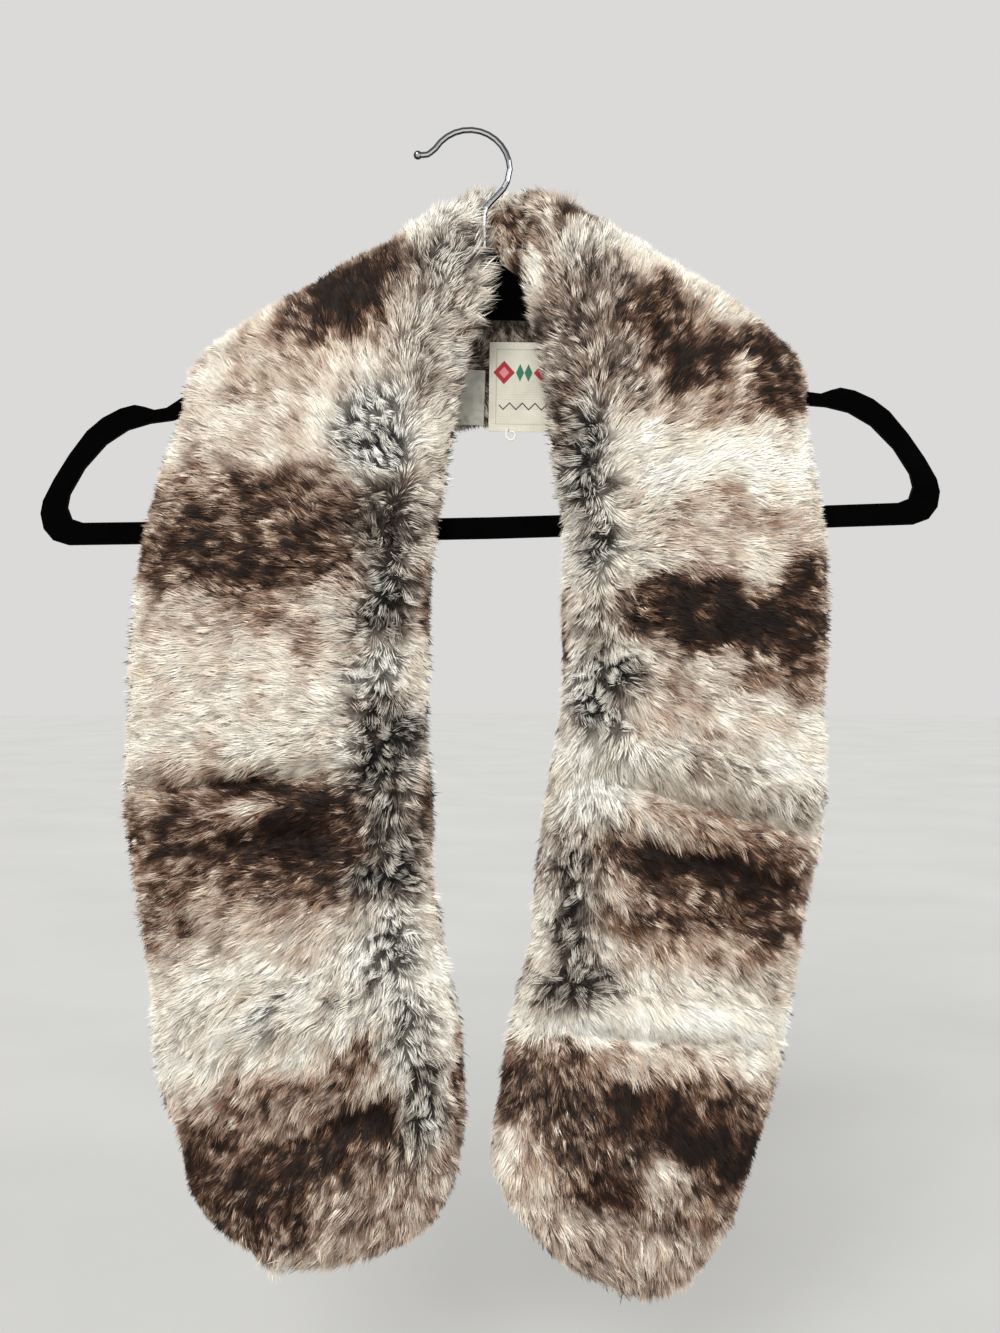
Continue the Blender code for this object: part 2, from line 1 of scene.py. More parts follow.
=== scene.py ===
"""Looks of a fur collar wrap on a flat flocked hanger.

The wrap is a flat tube of long-pile fur. Each stretch of it is a hide, which is a thin shell just
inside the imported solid, with two coats of hair grown from it: a short dense undercoat and a longer
guard coat. Hair is combed away from a parting that runs down each lapel. Sizes are in metres, in
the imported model's frame: +Z is up, the front faces -Y, and the hook's inside is the origin.
"""
import math
from collections import namedtuple

import bmesh
import bpy
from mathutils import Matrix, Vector
from mathutils.bvhtree import BVHTree
import numpy as np


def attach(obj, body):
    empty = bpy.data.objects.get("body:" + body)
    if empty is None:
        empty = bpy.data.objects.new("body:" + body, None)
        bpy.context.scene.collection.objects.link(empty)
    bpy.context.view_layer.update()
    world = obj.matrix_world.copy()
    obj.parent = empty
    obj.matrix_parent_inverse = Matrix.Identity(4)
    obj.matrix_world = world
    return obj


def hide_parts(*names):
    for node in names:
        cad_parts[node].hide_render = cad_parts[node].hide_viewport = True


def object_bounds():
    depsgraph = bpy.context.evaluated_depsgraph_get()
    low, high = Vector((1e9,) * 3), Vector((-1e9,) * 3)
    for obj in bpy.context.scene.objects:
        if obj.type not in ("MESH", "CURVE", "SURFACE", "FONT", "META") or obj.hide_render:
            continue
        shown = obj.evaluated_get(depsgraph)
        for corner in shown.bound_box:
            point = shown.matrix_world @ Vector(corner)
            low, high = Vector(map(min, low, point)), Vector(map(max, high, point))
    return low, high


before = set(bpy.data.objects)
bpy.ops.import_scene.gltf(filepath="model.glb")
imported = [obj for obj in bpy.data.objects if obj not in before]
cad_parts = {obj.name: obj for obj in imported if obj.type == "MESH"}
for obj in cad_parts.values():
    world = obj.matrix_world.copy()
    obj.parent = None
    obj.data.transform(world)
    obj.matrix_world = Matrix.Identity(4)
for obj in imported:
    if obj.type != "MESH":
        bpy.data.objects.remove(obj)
CAD_BOX = [list(corner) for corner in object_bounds()]

bl_info = {
    "name": "Fur Collar Wrap",
    "version": (1, 0, 0),
    "blender": (4, 5, 0),
    "location": "View3D > Sidebar > Fur Wrap",
    "description": "Grows the fur of a collar wrap and dresses its hanger, labels and stage",
    "category": "Object",
}

MM = 0.001
TINY = 1e-12
BODY = "root"


def table(row, *rows):
    """A table whose rows are of one kind."""
    return tuple(row(*values) for values in rows)


# ---- The wrap's form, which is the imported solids' own ----

# The fold over each arm: a line that runs from a point on the arm up towards the neck.
Fold = namedtuple("Fold", "x z slope towards_neck")
LEFT_FOLD = Fold(x=-132.8 * MM, z=-130.5 * MM, slope=math.radians(27.0), towards_neck=1.0)
RIGHT_FOLD = Fold(x=157.0 * MM, z=-126.0 * MM, slope=math.radians(29.0), towards_neck=-1.0)
FOLD_RADIUS = 13.0 * MM
FOLD_ARC = math.pi * FOLD_RADIUS

# Distance of the middle of the tube from the hanger's plane, how far the inner half stays from that
# plane and from the arm, and where lapel and neck meet, with the gap between them.
LAPEL_DEPTH = 17.0 * MM
NECK_DEPTH = 15.5 * MM
FOLD_DEPTH = 14.0 * MM
FOLD_DEPTH_SLANT = 7.0 * MM
HANGER_CLEARANCE = 3.8 * MM
ARM_CLEARANCE = 6.2 * MM
SEAM_BEHIND_FOLD = 6.0 * MM
SEAM = 0.3 * MM

# Where the depth changes towards the fold, and from the fold back towards the neck's depth, and how
# far behind its crest the tube still follows the arm.
FOLD_EASES_IN = (-70.0 * MM, 4.0 * MM)
FOLD_EASES_OUT = (-4.0 * MM, 50.0 * MM)
STILL_FOLDED = 20.0 * MM

# How the tube is read along its length: how far past the neck's middle it runs on, in millimetres,
# from which station its direction is followed and over what distance, the places that its outline
# and its seam are looked for at, and the small steps that find which way it faces.
PAST_NECK = 60.0
STEADY_STATION = 5
DIRECTION_REACH = 4.0 * MM
OUTLINE_SAMPLES = 13
SEAM_SAMPLES = 200
SMALL_STEP = 1.0 * MM
SMALL_SHARE = 0.01

# Stations down each lapel, in millimetres: the middle of the tube, half its width, and how thick
# its outer and inner halves are with their pile.
Station = namedtuple("Station", "x z half_width outer inner")
LEFT_LAPEL = table(
    Station,
    (-88, -556, 10, 3, 2.5), (-83.5, -552.5, 22, 6, 4.5),
    (-76, -547.5, 36, 8.5, 6.5), (-73, -540.5, 49.5, 11, 8),
    (-72.5, -524, 63.5, 14, 10.5), (-71.5, -504.5, 69, 15.5, 12),
    (-71.5, -480, 73, 16.5, 12.5), (-77.5, -446, 76.5, 16.5, 13),
    (-82.5, -407.5, 73.5, 15.5, 13), (-88.5, -370, 74, 16, 13),
    (-91, -335, 77, 17, 13), (-92, -295, 74, 16.5, 13),
    (-90.5, -252, 74, 17, 13), (-86.5, -205, 72, 17, 13),
    (-75, -155, 68, 16.5, 12.5),
)
RIGHT_LAPEL = table(
    Station,
    (79.5, -568.5, 10, 3, 2.5), (79, -565, 22, 6, 4.5), (78.5, -558, 33, 9, 6.5),
    (75, -548.5, 43, 11.5, 8.5), (73, -524, 59.5, 14.5, 11), (73, -504.5, 64.5, 15.5, 12),
    (77.5, -485, 66.5, 16, 12.5), (86, -446, 68, 16.5, 13), (94, -407.5, 66.5, 16, 13),
    (99, -369, 68.5, 16, 13), (106.5, -320, 69, 17, 13), (109, -282, 65.5, 16.5, 13),
    (110, -240, 67, 17, 13), (110, -208, 65, 17, 13), (103.5, -155, 64, 16.5, 12.5),
)
# The crest of each fold: how far along the fold line its middle is.
Crest = namedtuple("Crest", "along half_width outer inner")
LEFT_CREST = Crest(along=87.5, half_width=75.0, outer=11.0, inner=9.0)
RIGHT_CREST = Crest(along=80.0, half_width=73.0, outer=12.5, inner=9.0)
NECK_MIDDLE = Station(x=16.5, z=-85.6, half_width=59.5, outer=12.0, inner=10.0)

# Folds and hollows in the pile, in millimetres: where, how long and wide, which way they run in
# degrees from level, and how deep. A negative depth is a ridge.
Crease = namedtuple("Crease", "x z half_length half_width slope depth")
LEFT_CREASES = table(
    Crease,
    (-42, -300, 260, 9, 90, 3), (-120, -322, 60, 7, 4, 5), (-120, -308, 50, 8, 3, -2.5),
    (-86, -348, 34, 10, 8, 5), (-140, -392, 34, 9, -12, 5), (-70, -430, 60, 14, -6, -2.5),
    (-64, -486, 40, 10, 20, 3),
)
RIGHT_CREASES = table(
    Crease,
    (62, -300, 260, 9, 82, 3), (128, -318, 62, 8, -17, -3.5), (122, -334, 62, 7, -16, 5),
    (120, -362, 56, 9, -20, 4.5), (90, -428, 70, 8, -5, -2.5), (90, -443, 70, 8, -5, 4),
    (66, -530, 34, 7, -14, 4.5),
)

# The hide lies the pile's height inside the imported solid, which reaches to the tips of the pile.
# Its cross-section is an oval, fuller than an ellipse. The pile is pressed where it meets the
# hanger. In front the hide swells a little here and there, and creases end before the fold.
PILE_HEIGHT = 4.0 * MM
PRESSED_PILE = 2.5 * MM
ROUNDNESS = 2.6
LEAST_THICKNESS = 1.0 * MM
SWELL = 0.7 * MM
CREASE_DEEPER = 2.2
CREASES_END = (-30.0 * MM, 0.0)

# The hide's wall, how far apart its rows are, how many columns each has, and how much these crowd
# towards the edges.
HIDE_WALL = 1.6 * MM
HIDE_STEP = 4.5 * MM
HIDE_COLUMNS = 36
EDGE_CROWDING = 0.6

# How much of its length the hair keeps at the rims and towards the crest, and by what share it is
# longer where an edge flares, and shorter where it stands up or is brown.
RIM_LENGTH = 0.6
RIM_SHORTENS = (0.72, 1.0)
CREST_LENGTH = 0.8
CREST_SHORTENS = (0.72, 0.95)
FLARE_LONGER = 0.9
STAND_SHORTER = 0.2
BROWN_SHORTER = 0.22
BROWN_TO_PALE = (0.3, 0.6)

# What roots tell their hair: how far it rises, how loosely it turns with its lock and how steadily
# by itself, how much its tone differs and how mottled its dye is. Each is so much where the hair
# lies flat and isn't brown, and so much more where it stands up and where it is brown.
Guide = namedtuple("Guide", "name calm standing brown")
GUIDES = table(
    Guide,
    ("rise", 0.0, 0.65, 0.0),
    ("loose", 1.0, 3.0, 0.0),
    ("steady", 1.0, -0.4, 0.0),
    ("spread", 0.65, 0.0, 17.0),
    ("mottle", 0.1, 0.0, 5.0),
)
BROWN_POWER = 3

# Cool tufts part into fewer locks. Hair gathers less the shorter or longer than its coat it is, and
# more where it stands up.
COOL_TUFT_LOCKS = 0.75
SHORT_GATHERS = 1.6
LONG_GATHERS = -1.5
STAND_GATHERS = 0.16

# The pile where no patch is laid, how square the patches' corners are, where their edges start and
# end to fade, and how far the tips that show lie from their roots.
PALE_TONE = 0.80
PALE_COOL = 0.25
PATCH_SQUARENESS = 2.6
PATCH_FADE = (0.6, 1.4)
TIP_REACH = 6.0 * MM

# Bands on the sides that don't show in front: the pile between them, how their edges fade and
# waver, and half the tube's width that the wavering is drawn over.
BETWEEN_TONE = 0.62
BETWEEN_COOL = 0.10
BAND_FADE = (0.55, 1.2)
BAND_WAVER = 7.0 * MM
BAND_HALF_WIDTH = 70.0 * MM

# How a patch's edge wanders: the size of the waves and how far they reach, in mm, and their seed.
PATCH_EDGES = ((42.0, 4.0, 11), (17.0, 3.0, 13), (9.0, 1.6, 15))

# Uneven fields drawn in code: how many waves each adds up, how much shorter or longer than asked
# for they may be, and each field's size and seed. Clouds are broad lighter and darker dye in front.
WAVES = 7
WAVE_STRETCH = (0.7, 1.5)
SWELL_WAVES = (34.0 * MM, 3)
BAND_WAVES = (55.0 * MM, 21)
PARTING_WAVES = (60.0 * MM, 31)
CLOUD_WAVES = (24.0 * MM, 41)
CLOUD_TONE = 0.11

# The hair's colour map: rows of coolness, the share of a row and of the whole width that is left
# free at each end, and how far a hair's sides lie from its middle.
COLOUR_MAP_ROWS = 8
ROW_MARGIN = 0.1
MAP_MARGIN = 0.01
COLOUR_MAP_SIDE = 0.004

# The cut of each half of the tube, before it is sewn: width and length.
LAPEL_CUT = (0.158, 0.52)
NECK_CUT = (0.135, 0.085)

# A coat of hair: its name, the shape of its hairs, its fibre, and what the tree is given for it.
Coat = namedtuple("Coat", "name rings fibre given")
PER_SQUARE_METRE = 1.0e4
NECK_PLUSH_LENGTH = 8.0 * MM
UNDER_GATHERS = 0.4

# Seeds of the coats: undercoat, guard hair, and the hair behind or inside.
LAPEL_SEEDS = (10, 20, 30)
NECK_SEEDS = (40, 41, 42)

# The camera: level, this far from the hanger's plane, and what the frame's height takes in there.
CAMERA_X = 15.65 * MM
CAMERA_Z = -265.0 * MM
CAMERA_BACK = 0.75
FRAME_HEIGHT = 1333.0
FRAME_SCALE = 0.4967 * MM

# The two lights shine from these directions, as softly as a diffuser that looks this wide.
KEY_FROM = (-0.76, -2.6, 1.35)
FILL_FROM = (1.99, -1.7, 0.6)
LIGHT_WIDTH = math.radians(34.0)
FLOOR_GAP = 0.09
FLOOR_RADIUS = 12.0
FLOOR_CORNERS = 96

# The woven label: the middle of its sewn edge, its size and lean, and the bright shapes woven in it.
Corner = namedtuple("Corner", "x z width height lean")
LABEL_CORNER = Corner(x=29.8, z=-147.2, width=40.0, height=44.0, lean=-1.0)
Motif = namedtuple("Motif", "across rise half_width half_height colour")
LABEL_MOTIFS = table(
    Motif,
    (-12.6, 29.0, 5.4, 5.8, "#a51f2d"),
    (-12.6, 29.0, 2.6, 2.8, "#d8858a"),
    (-4.6, 29.0, 2.0, 4.4, "#2c6e50"),
    (-0.4, 29.0, 2.0, 4.4, "#2c6e50"),
    (7.6, 29.0, 5.4, 5.8, "#a51f2d"),
    (7.6, 29.0, 2.6, 2.8, "#d8858a"),
)
Zigzag = namedtuple("Zigzag", "across rise tooth half_run half_line colour")
ZIGZAG = Zigzag(across=0.0, rise=11.0, tooth=3.2, half_run=15.0, half_line=0.4, colour="#26262a")
FrameLine = namedtuple("FrameLine", "inset half_width colour")
FRAME_LINE = FrameLine(inset=3.6, half_width=0.25, colour="#b9b09a")
LABEL_THREAD = 0.6 * MM

# Stitches along the label's hem, in millimetres from its edges, how many places each side of the
# line is found at, and from how far in front.
HEM_INSET = 1.6
HEM_STEPS = 24
IN_FRONT = -1.0
STITCH_LENGTH = 1.4 * MM
STITCH_PITCH = 2.1 * MM
STITCH_RADIUS = 0.22 * MM

# ---- How the hair is combed and coloured ----

# Which way the hair lies, in degrees from straight down the lapel towards its edge: beside the
# parting, at the outer edge and at the inner edge. flare is how far the inner edge's hair stands
# out. way is 0 at the tip and 1 at the fold's crest.
Comb = namedtuple("Comb", "way parting outer inner flare")
LEFT_COMB = table(
    Comb,
    (0, 4, 36, 28, 0), (0.15, 12, 52, 42, 0), (0.27, 48, 68, 46, 0),
    (0.42, 80, 84, 58, 0), (0.6, 98, 92, 64, 0), (0.72, 96, 94, 76, 0),
    (0.82, 118, 98, 104, 0), (0.88, 150, 114, 124, 0), (0.94, 158, 124, 132, 0.3),
    (1, 166, 134, 146, 1), (1.4, 90, 90, 90, 0),
)
RIGHT_COMB = table(
    Comb,
    (0, 6, 30, 24, 0), (0.15, 22, 42, 18, 0), (0.28, 50, 68, 28, 0),
    (0.42, 54, 64, 30, 0), (0.54, 26, 62, 24, 0), (0.66, 70, 78, 40, 0),
    (0.77, 88, 88, 64, 0), (0.86, 136, 110, 120, 0.1), (1, 164, 132, 146, 0.2),
    (1.4, 90, 90, 90, 0),
)

# Where the parting is across the tube, from -1 at the outer edge to 1 at the inner one, in front,
# on the back halves and inside the neck. It starts a little way up from the tip and wavers.
PARTING_AT = 0.69
BACK_PARTING_AT = 0.1
NECK_PARTING_AT = -0.6
PARTING_WIDTH = 0.20
PARTING_FROM_WAY = 0.06
PARTING_WAVER = 0.07

# How far hair stands up at the parting, how wide the tufts beside it are and between which
# coolnesses they rise, where across the width the inner edge flares, and how much all hair droops.
PARTING_DEPTH = 0.2
TUFT_WIDTH = 0.30
TUFTED = (0.45, 0.9)
FLARED = (0.8, 0.97)
DROOP = 0.08

# Dyed patches in the pile, a few of them also painted shade, in millimetres: the middle, half the length
# and half the width, the slope in degrees, the tone from 0, near black, to 1, white, and how cool and
# dark-rooted it is.
Patch = namedtuple("Patch", "x z half_length half_width slope tone cool")
LEFT_DYE_AND_SHADE_PATCHES = table(
    Patch,
    (-33, -58, 49, 24, 0, 0.84, 0.3), (-4, -58, 24, 19, 60, 0.8, 0.45),
    # The patch at -9, -70 is greyer and darker, partly for grey roots and partly as painted shade in the
    # lapel's upper inner corner.
    (-9, -70, 24, 16, 70, 0.64, 0.75), (-72, -100, 39, 18, 28, 0.5, 0),
    (-53, -80, 30, 16, 26, 0.08, 0), (-80, -139, 57, 30, 0, 0.76, 0.1),
    (-94, -126, 27, 10, 20, 0.62, 0), (-106, -202, 53, 33, 0, 0.27, 0),
    (-111, -216, 44, 12, -4, 0.16, 0), (-135, -178, 19, 8, 10, 0.5, 0),
    (-102, -237, 16, 8, -25, 0.4, 0), (-92, -246, 30, 10, -10, 0.55, 0.05),
    (-143, -245, 21, 12, 0, 0.7, 0.1), (-113, -269, 53, 17, 0, 0.78, 0.08),
    (-120, -294, 39, 13, 0, 0.8, 0.25), (-134, -313, 21, 7, -4, 0.62, 0),
    (-100, -349, 67, 32, 0, 0.2, 0), (-109, -326, 38, 6, -4, 0.08, 0),
    (-134, -336, 20, 9, 0, 0.42, 0), (-104, -336, 10, 4, 8, 0.74, 0.2),
    (-83, -350, 19, 11, 6, 0.02, 0), (-137, -353, 9, 5, 0, 0.06, 0),
    (-120, -369, 39, 11, -8, 0.38, 0), (-103, -389, 41, 11, 6, 0.61, 0.05),
    (-147, -397, 17, 18, 0, 0.42, 0), (-81, -432, 78, 32, 0, 0.84, 0.32),
    (-86, -405, 10, 5, 0, 0.68, 0), (-94, -432, 17, 7, 24, 0.8, 0.85),
    (-63, -424, 9, 4, 20, 0.72, 0.8), (-92, -464, 25, 11, 10, 0.62, 0.05),
    (-79, -505, 61, 34, 0, 0.18, 0.05), (-55, -455, 15, 13, 20, 0.42, 0),
    (-125, -479, 19, 10, 15, 0.44, 0), (-47, -487, 18, 14, 10, 0.04, 0),
    (-101, -509, 39, 17, 0, 0.15, 0), (-90, -485, 23, 7, 12, 0.5, 0.1),
    (-103, -536, 30, 17, -14, 0.26, 0.05), (-44, -529, 30, 25, 14, 0.5, 0.2),
    (-118, -505, 10, 5, 10, 0.5, 0), (-16, -238, 7, 18, 0, 0.38, 0),
    (-19, -271, 8, 16, 0, 0.82, 0), (-16, -333, 8, 21, 0, 0.3, 0),
    (-13, -377, 7, 23, 0, 0.74, 0.15), (-16, -418, 13, 21, 0, 0.92, 0.15),
    (-1, -444, 7, 7, 0, 0.52, 0), (0, -464, 7, 15, 0, 0.22, 0),
    (-3, -496, 8, 18, 0, 0.5, 0.3),
)
LEFT_PARTING = table(
    Patch,
    (-13, -110, 25, 29, 0, 0.68, 0.5), (-45, -151, 23, 19, 84, 0.86, 1),
    (-37, -194, 22, 20, 84, 0.36, 0.75), (-40, -235, 22, 18, 85, 0.52, 0.88),
    (-45, -269, 12, 17, 85, 0.88, 0.75), (-41, -306, 24, 19, 85, 0.5, 0.95),
    (-35, -344, 17, 15, 85, 0.5, 0.78), (-40, -369, 11, 20, 85, 0.46, 0.95),
    (-37, -403, 24, 16, 80, 0.84, 0.8), (-29, -441, 19, 11, 78, 0.78, 0.85),
    (-21, -478, 27, 8, 80, 0.6, 0.9),
)
RIGHT_PATCHES = table(
    Patch,
    (30, -58, 15, 24, 0, 0.26, 0.12), (56, -54, 20, 16, 0, 0.84, 0.6),
    (98, -71, 30, 18, -30, 0.9, 0.1), (42, -36, 24, 7, -22, 0.26, 0.05),
    (30, -80, 6, 17, 0, 0.88, 0.1), (61, -82, 19, 19, -30, 0.5, 0.5),
    (45, -95, 14, 17, -40, 0.46, 0.45), (47, -139, 17, 30, 0, 0.58, 0.6),
    (68, -118, 22, 20, -20, 0.5, 0.4), (93, -96, 20, 17, -30, 0.24, 0),
    (125, -115, 36, 18, -4, 0.18, 0), (115, -118, 18, 9, -4, 0.1, 0),
    (134, -124, 6, 3, 0, 0.8, 0.05), (152, -134, 12, 12, 0, 0.2, 0),
    (121, -141, 25, 13, 4, 0.56, 0), (125, -167, 51, 17, 0, 0.94, 0.06),
    (121, -182, 8, 4, 0, 0.62, 0), (135, -202, 41, 17, 0, 0.66, 0),
    (121, -191, 13, 5, 0, 0.56, 0), (107, -232, 23, 11, 12, 0.17, 0),
    (126, -244, 36, 19, -4, 0.03, 0), (163, -240, 14, 27, 0, 0.12, 0),
    (140, -214, 12, 15, 0, 0.78, 0.1), (80, -239, 16, 7, 0, 0.3, 0),
    (119, -276, 18, 16, 0, 0.74, 0.2), (155, -272, 20, 10, -6, 0.42, 0),
    (93, -286, 20, 15, 0, 0.5, 0.12), (131, -299, 47, 11, -6, 0.8, 0),
    (115, -296, 6, 4, -6, 0.4, 0), (139, -322, 46, 14, -22, 0.7, 0.42),
    (162, -314, 23, 9, -14, 0.98, 0.2), (113, -335, 44, 12, -20, 0.74, 0.05),
    (135, -350, 34, 10, -20, 0.5, 0), (117, -365, 49, 14, -12, 0.04, 0),
    (141, -373, 21, 8, -8, 0.03, 0), (117, -389, 49, 13, -4, 0.27, 0),
    (119, -404, 42, 9, -6, 0.58, 0), (141, -418, 16, 11, 0, 0.6, 0.5),
    (105, -421, 39, 11, -6, 0.78, 0.4), (90, -439, 74, 11, -3, 1, 0.05),
    (71, -450, 15, 6, 0, 0.58, 0), (39, -460, 23, 13, 0, 0.42, 0.05),
    (125, -452, 32, 8, -6, 0.78, 0.25), (135, -468, 22, 12, -20, 0.7, 0.15),
    (111, -465, 27, 7, -16, 0.55, 0), (77, -481, 66, 18, -2, 0.11, 0.05),
    (60, -503, 28, 11, -8, 0.32, 0.08), (37, -484, 24, 18, 0, 0.33, 0.15),
    (120, -501, 21, 15, -8, 0.03, 0), (19, -508, 13, 18, 0, 0.82, 0.1),
    (37, -517, 21, 14, -10, 0.66, 0.05), (98, -510, 15, 6, -8, 0.68, 0.3),
    (68, -519, 18, 9, -24, 0.2, 0), (101, -527, 15, 13, -10, 0.46, 0.25),
    (123, -528, 17, 16, 0, 0.4, 0.05), (71, -552, 48, 21, 0, 0.58, 0.25),
    (42, -544, 13, 10, -20, 0.58, 0.25), (43, -253, 25, 6, 88, 0.14, 0),
    (42, -146, 20, 3, 88, 0.14, 0), (51, -215, 13, 5, 88, 0.8, 0),
)
RIGHT_PARTING = table(
    Patch,
    (58, -165, 29, 13, 85, 0.6, 0.95), (63, -210, 18, 11, 85, 0.74, 0.85),
    (65, -245, 12, 13, 85, 0.6, 0.6), (66, -281, 21, 17, 85, 0.7, 1),
    (59, -324, 23, 19, 82, 0.92, 0.45), (51, -361, 17, 14, 82, 0.4, 0.7),
    (51, -393, 17, 13, 82, 0.48, 0.85), (53, -421, 24, 12, 10, 0.52, 0.9),
)
# Bands that run across the tube where the front doesn't show it: how far along each, in
# millimetres from the tip, half the length, the tone and the coolness.
Band = namedtuple("Band", "along half_length tone cool")
LEFT_BANDS = table(
    Band,
    (38, 46, 0.26, 0.05), (128, 27, 0.88, 0.3), (204, 33, 0.26, 0), (268, 34, 0.9, 0.12),
    (351, 35, 0.22, 0), (414, 32, 0.8, 0.15), (462, 18, 0.5, 0), (516, 44, 0.9, 0.3),
    (592, 30, 0.34, 0.05),
)
RIGHT_BANDS = table(
    Band,
    (16, 28, 0.84, 0.1), (76, 34, 0.24, 0.05), (126, 20, 0.9, 0.2), (158, 18, 0.66, 0.2),
    (199, 25, 0.26, 0), (252, 33, 0.8, 0.1), (318, 36, 0.2, 0), (388, 36, 0.85, 0.1),
    (449, 28, 0.26, 0), (508, 32, 0.86, 0.35), (590, 30, 0.34, 0.05),
)
# The plush that shows inside the band at the neck, above the labels. The first, broad patch is darker and
# greyer as painted shade, where the band's inside lies in shadow.
NECK_PLUSH_AND_SHADE_PATCHES = table(
    Patch,
    (10, -112, 70, 30, 0, 0.48, 0.55), (-20, -48, 30, 16, 20, 0.95, 0.3),
    (26, -52, 17, 20, 0, 0.28, 0), (14, -50, 3, 24, 4, 0.75, 0.1),
    (30, -46, 3, 22, -3, 0.72, 0.15), (62, -60, 24, 24, 0, 0.86, 0.5),
    (25, -72, 16, 6, 0, 0.16, 0.1),
)


def ease(value, start, end):
    """0 before start, 1 after end, and smooth between them."""
    share = np.clip((value - start) / (end - start), 0.0, 1.0)
    return share * share * (3.0 - 2.0 * share)


def through(knots, values, at):
    """A smooth curve through values at knots, read at the given places."""
    slopes = np.gradient(values, knots, axis=0)
    index = np.clip(np.searchsorted(knots, at, side="right") - 1, 0, len(knots) - 2)
    span = (knots[index + 1] - knots[index])[:, None]
    share = (at[:, None] - knots[index][:, None]) / span
    start = (2.0 * share**3 - 3.0 * share**2 + 1.0) * values[index]
    leave = (share**3 - 2.0 * share**2 + share) * span * slopes[index]
    finish = (3.0 * share**2 - 2.0 * share**3) * values[index + 1]
    arrive = (share**3 - share**2) * span * slopes[index + 1]
    return start + leave + finish + arrive


def unit(vectors):
    """The same directions, one long."""
    return vectors / np.maximum(np.linalg.norm(vectors, axis=-1, keepdims=True), TINY)


def metres(row):
    """The same row of a table, from millimetres to metres."""
    return type(row)(*(value * MM for value in row))


def ripple(x, z, size, seed):
    """A smooth uneven field between about -1 and 1, with features of this size."""
    draw = np.random.default_rng(seed)
    total = np.zeros_like(x)
    for _ in range(WAVES):
        angle, phase = draw.uniform(0.0, 2.0 * math.pi, 2)
        turns = 2.0 * math.pi / (size * draw.uniform(*WAVE_STRETCH))
        total += np.sin((x * math.cos(angle) + z * math.sin(angle)) * turns + phase)
    return total / math.sqrt(WAVES * 0.5) / 2.0


def fold_axes(fold):
    """The fold line's direction towards the neck, and the direction square to it and up."""
    along = np.array([fold.towards_neck * math.cos(fold.slope), math.sin(fold.slope)])
    up = np.array([-fold.towards_neck * math.sin(fold.slope), math.cos(fold.slope)])
    return along, up


def unfolded(fold, x, z, behind):
    """A place in front of the hanger or behind it, in the unfolded tube's plane."""
    along, up = fold_axes(fold)
    place = np.array([x - fold.x, z - fold.z])
    rise = place @ up
    return np.array([place @ along, FOLD_ARC - rise if behind else rise])


def own_shares(oval, across, rise):
    """How far places lie along an oval and across it, as shares of its half length and half width."""
    slope = math.radians(oval.slope)
    dx = across - oval.x
    dz = rise - oval.z
    run = (dx * math.cos(slope) + dz * math.sin(slope)) / oval.half_length
    off = (dz * math.cos(slope) - dx * math.sin(slope)) / oval.half_width
    return run, off


def laid_over(colours, row, weight):
    """Tone and coolness with a row's own laid over them by this weight."""
    return [under + (own - under) * weight for under, own in zip(colours, (row.tone, row.cool))]


# Columns of a stretch's rows, after its place in the unfolded plane.
HALF_WIDTH, OUTER, INNER = 2, 3, 4


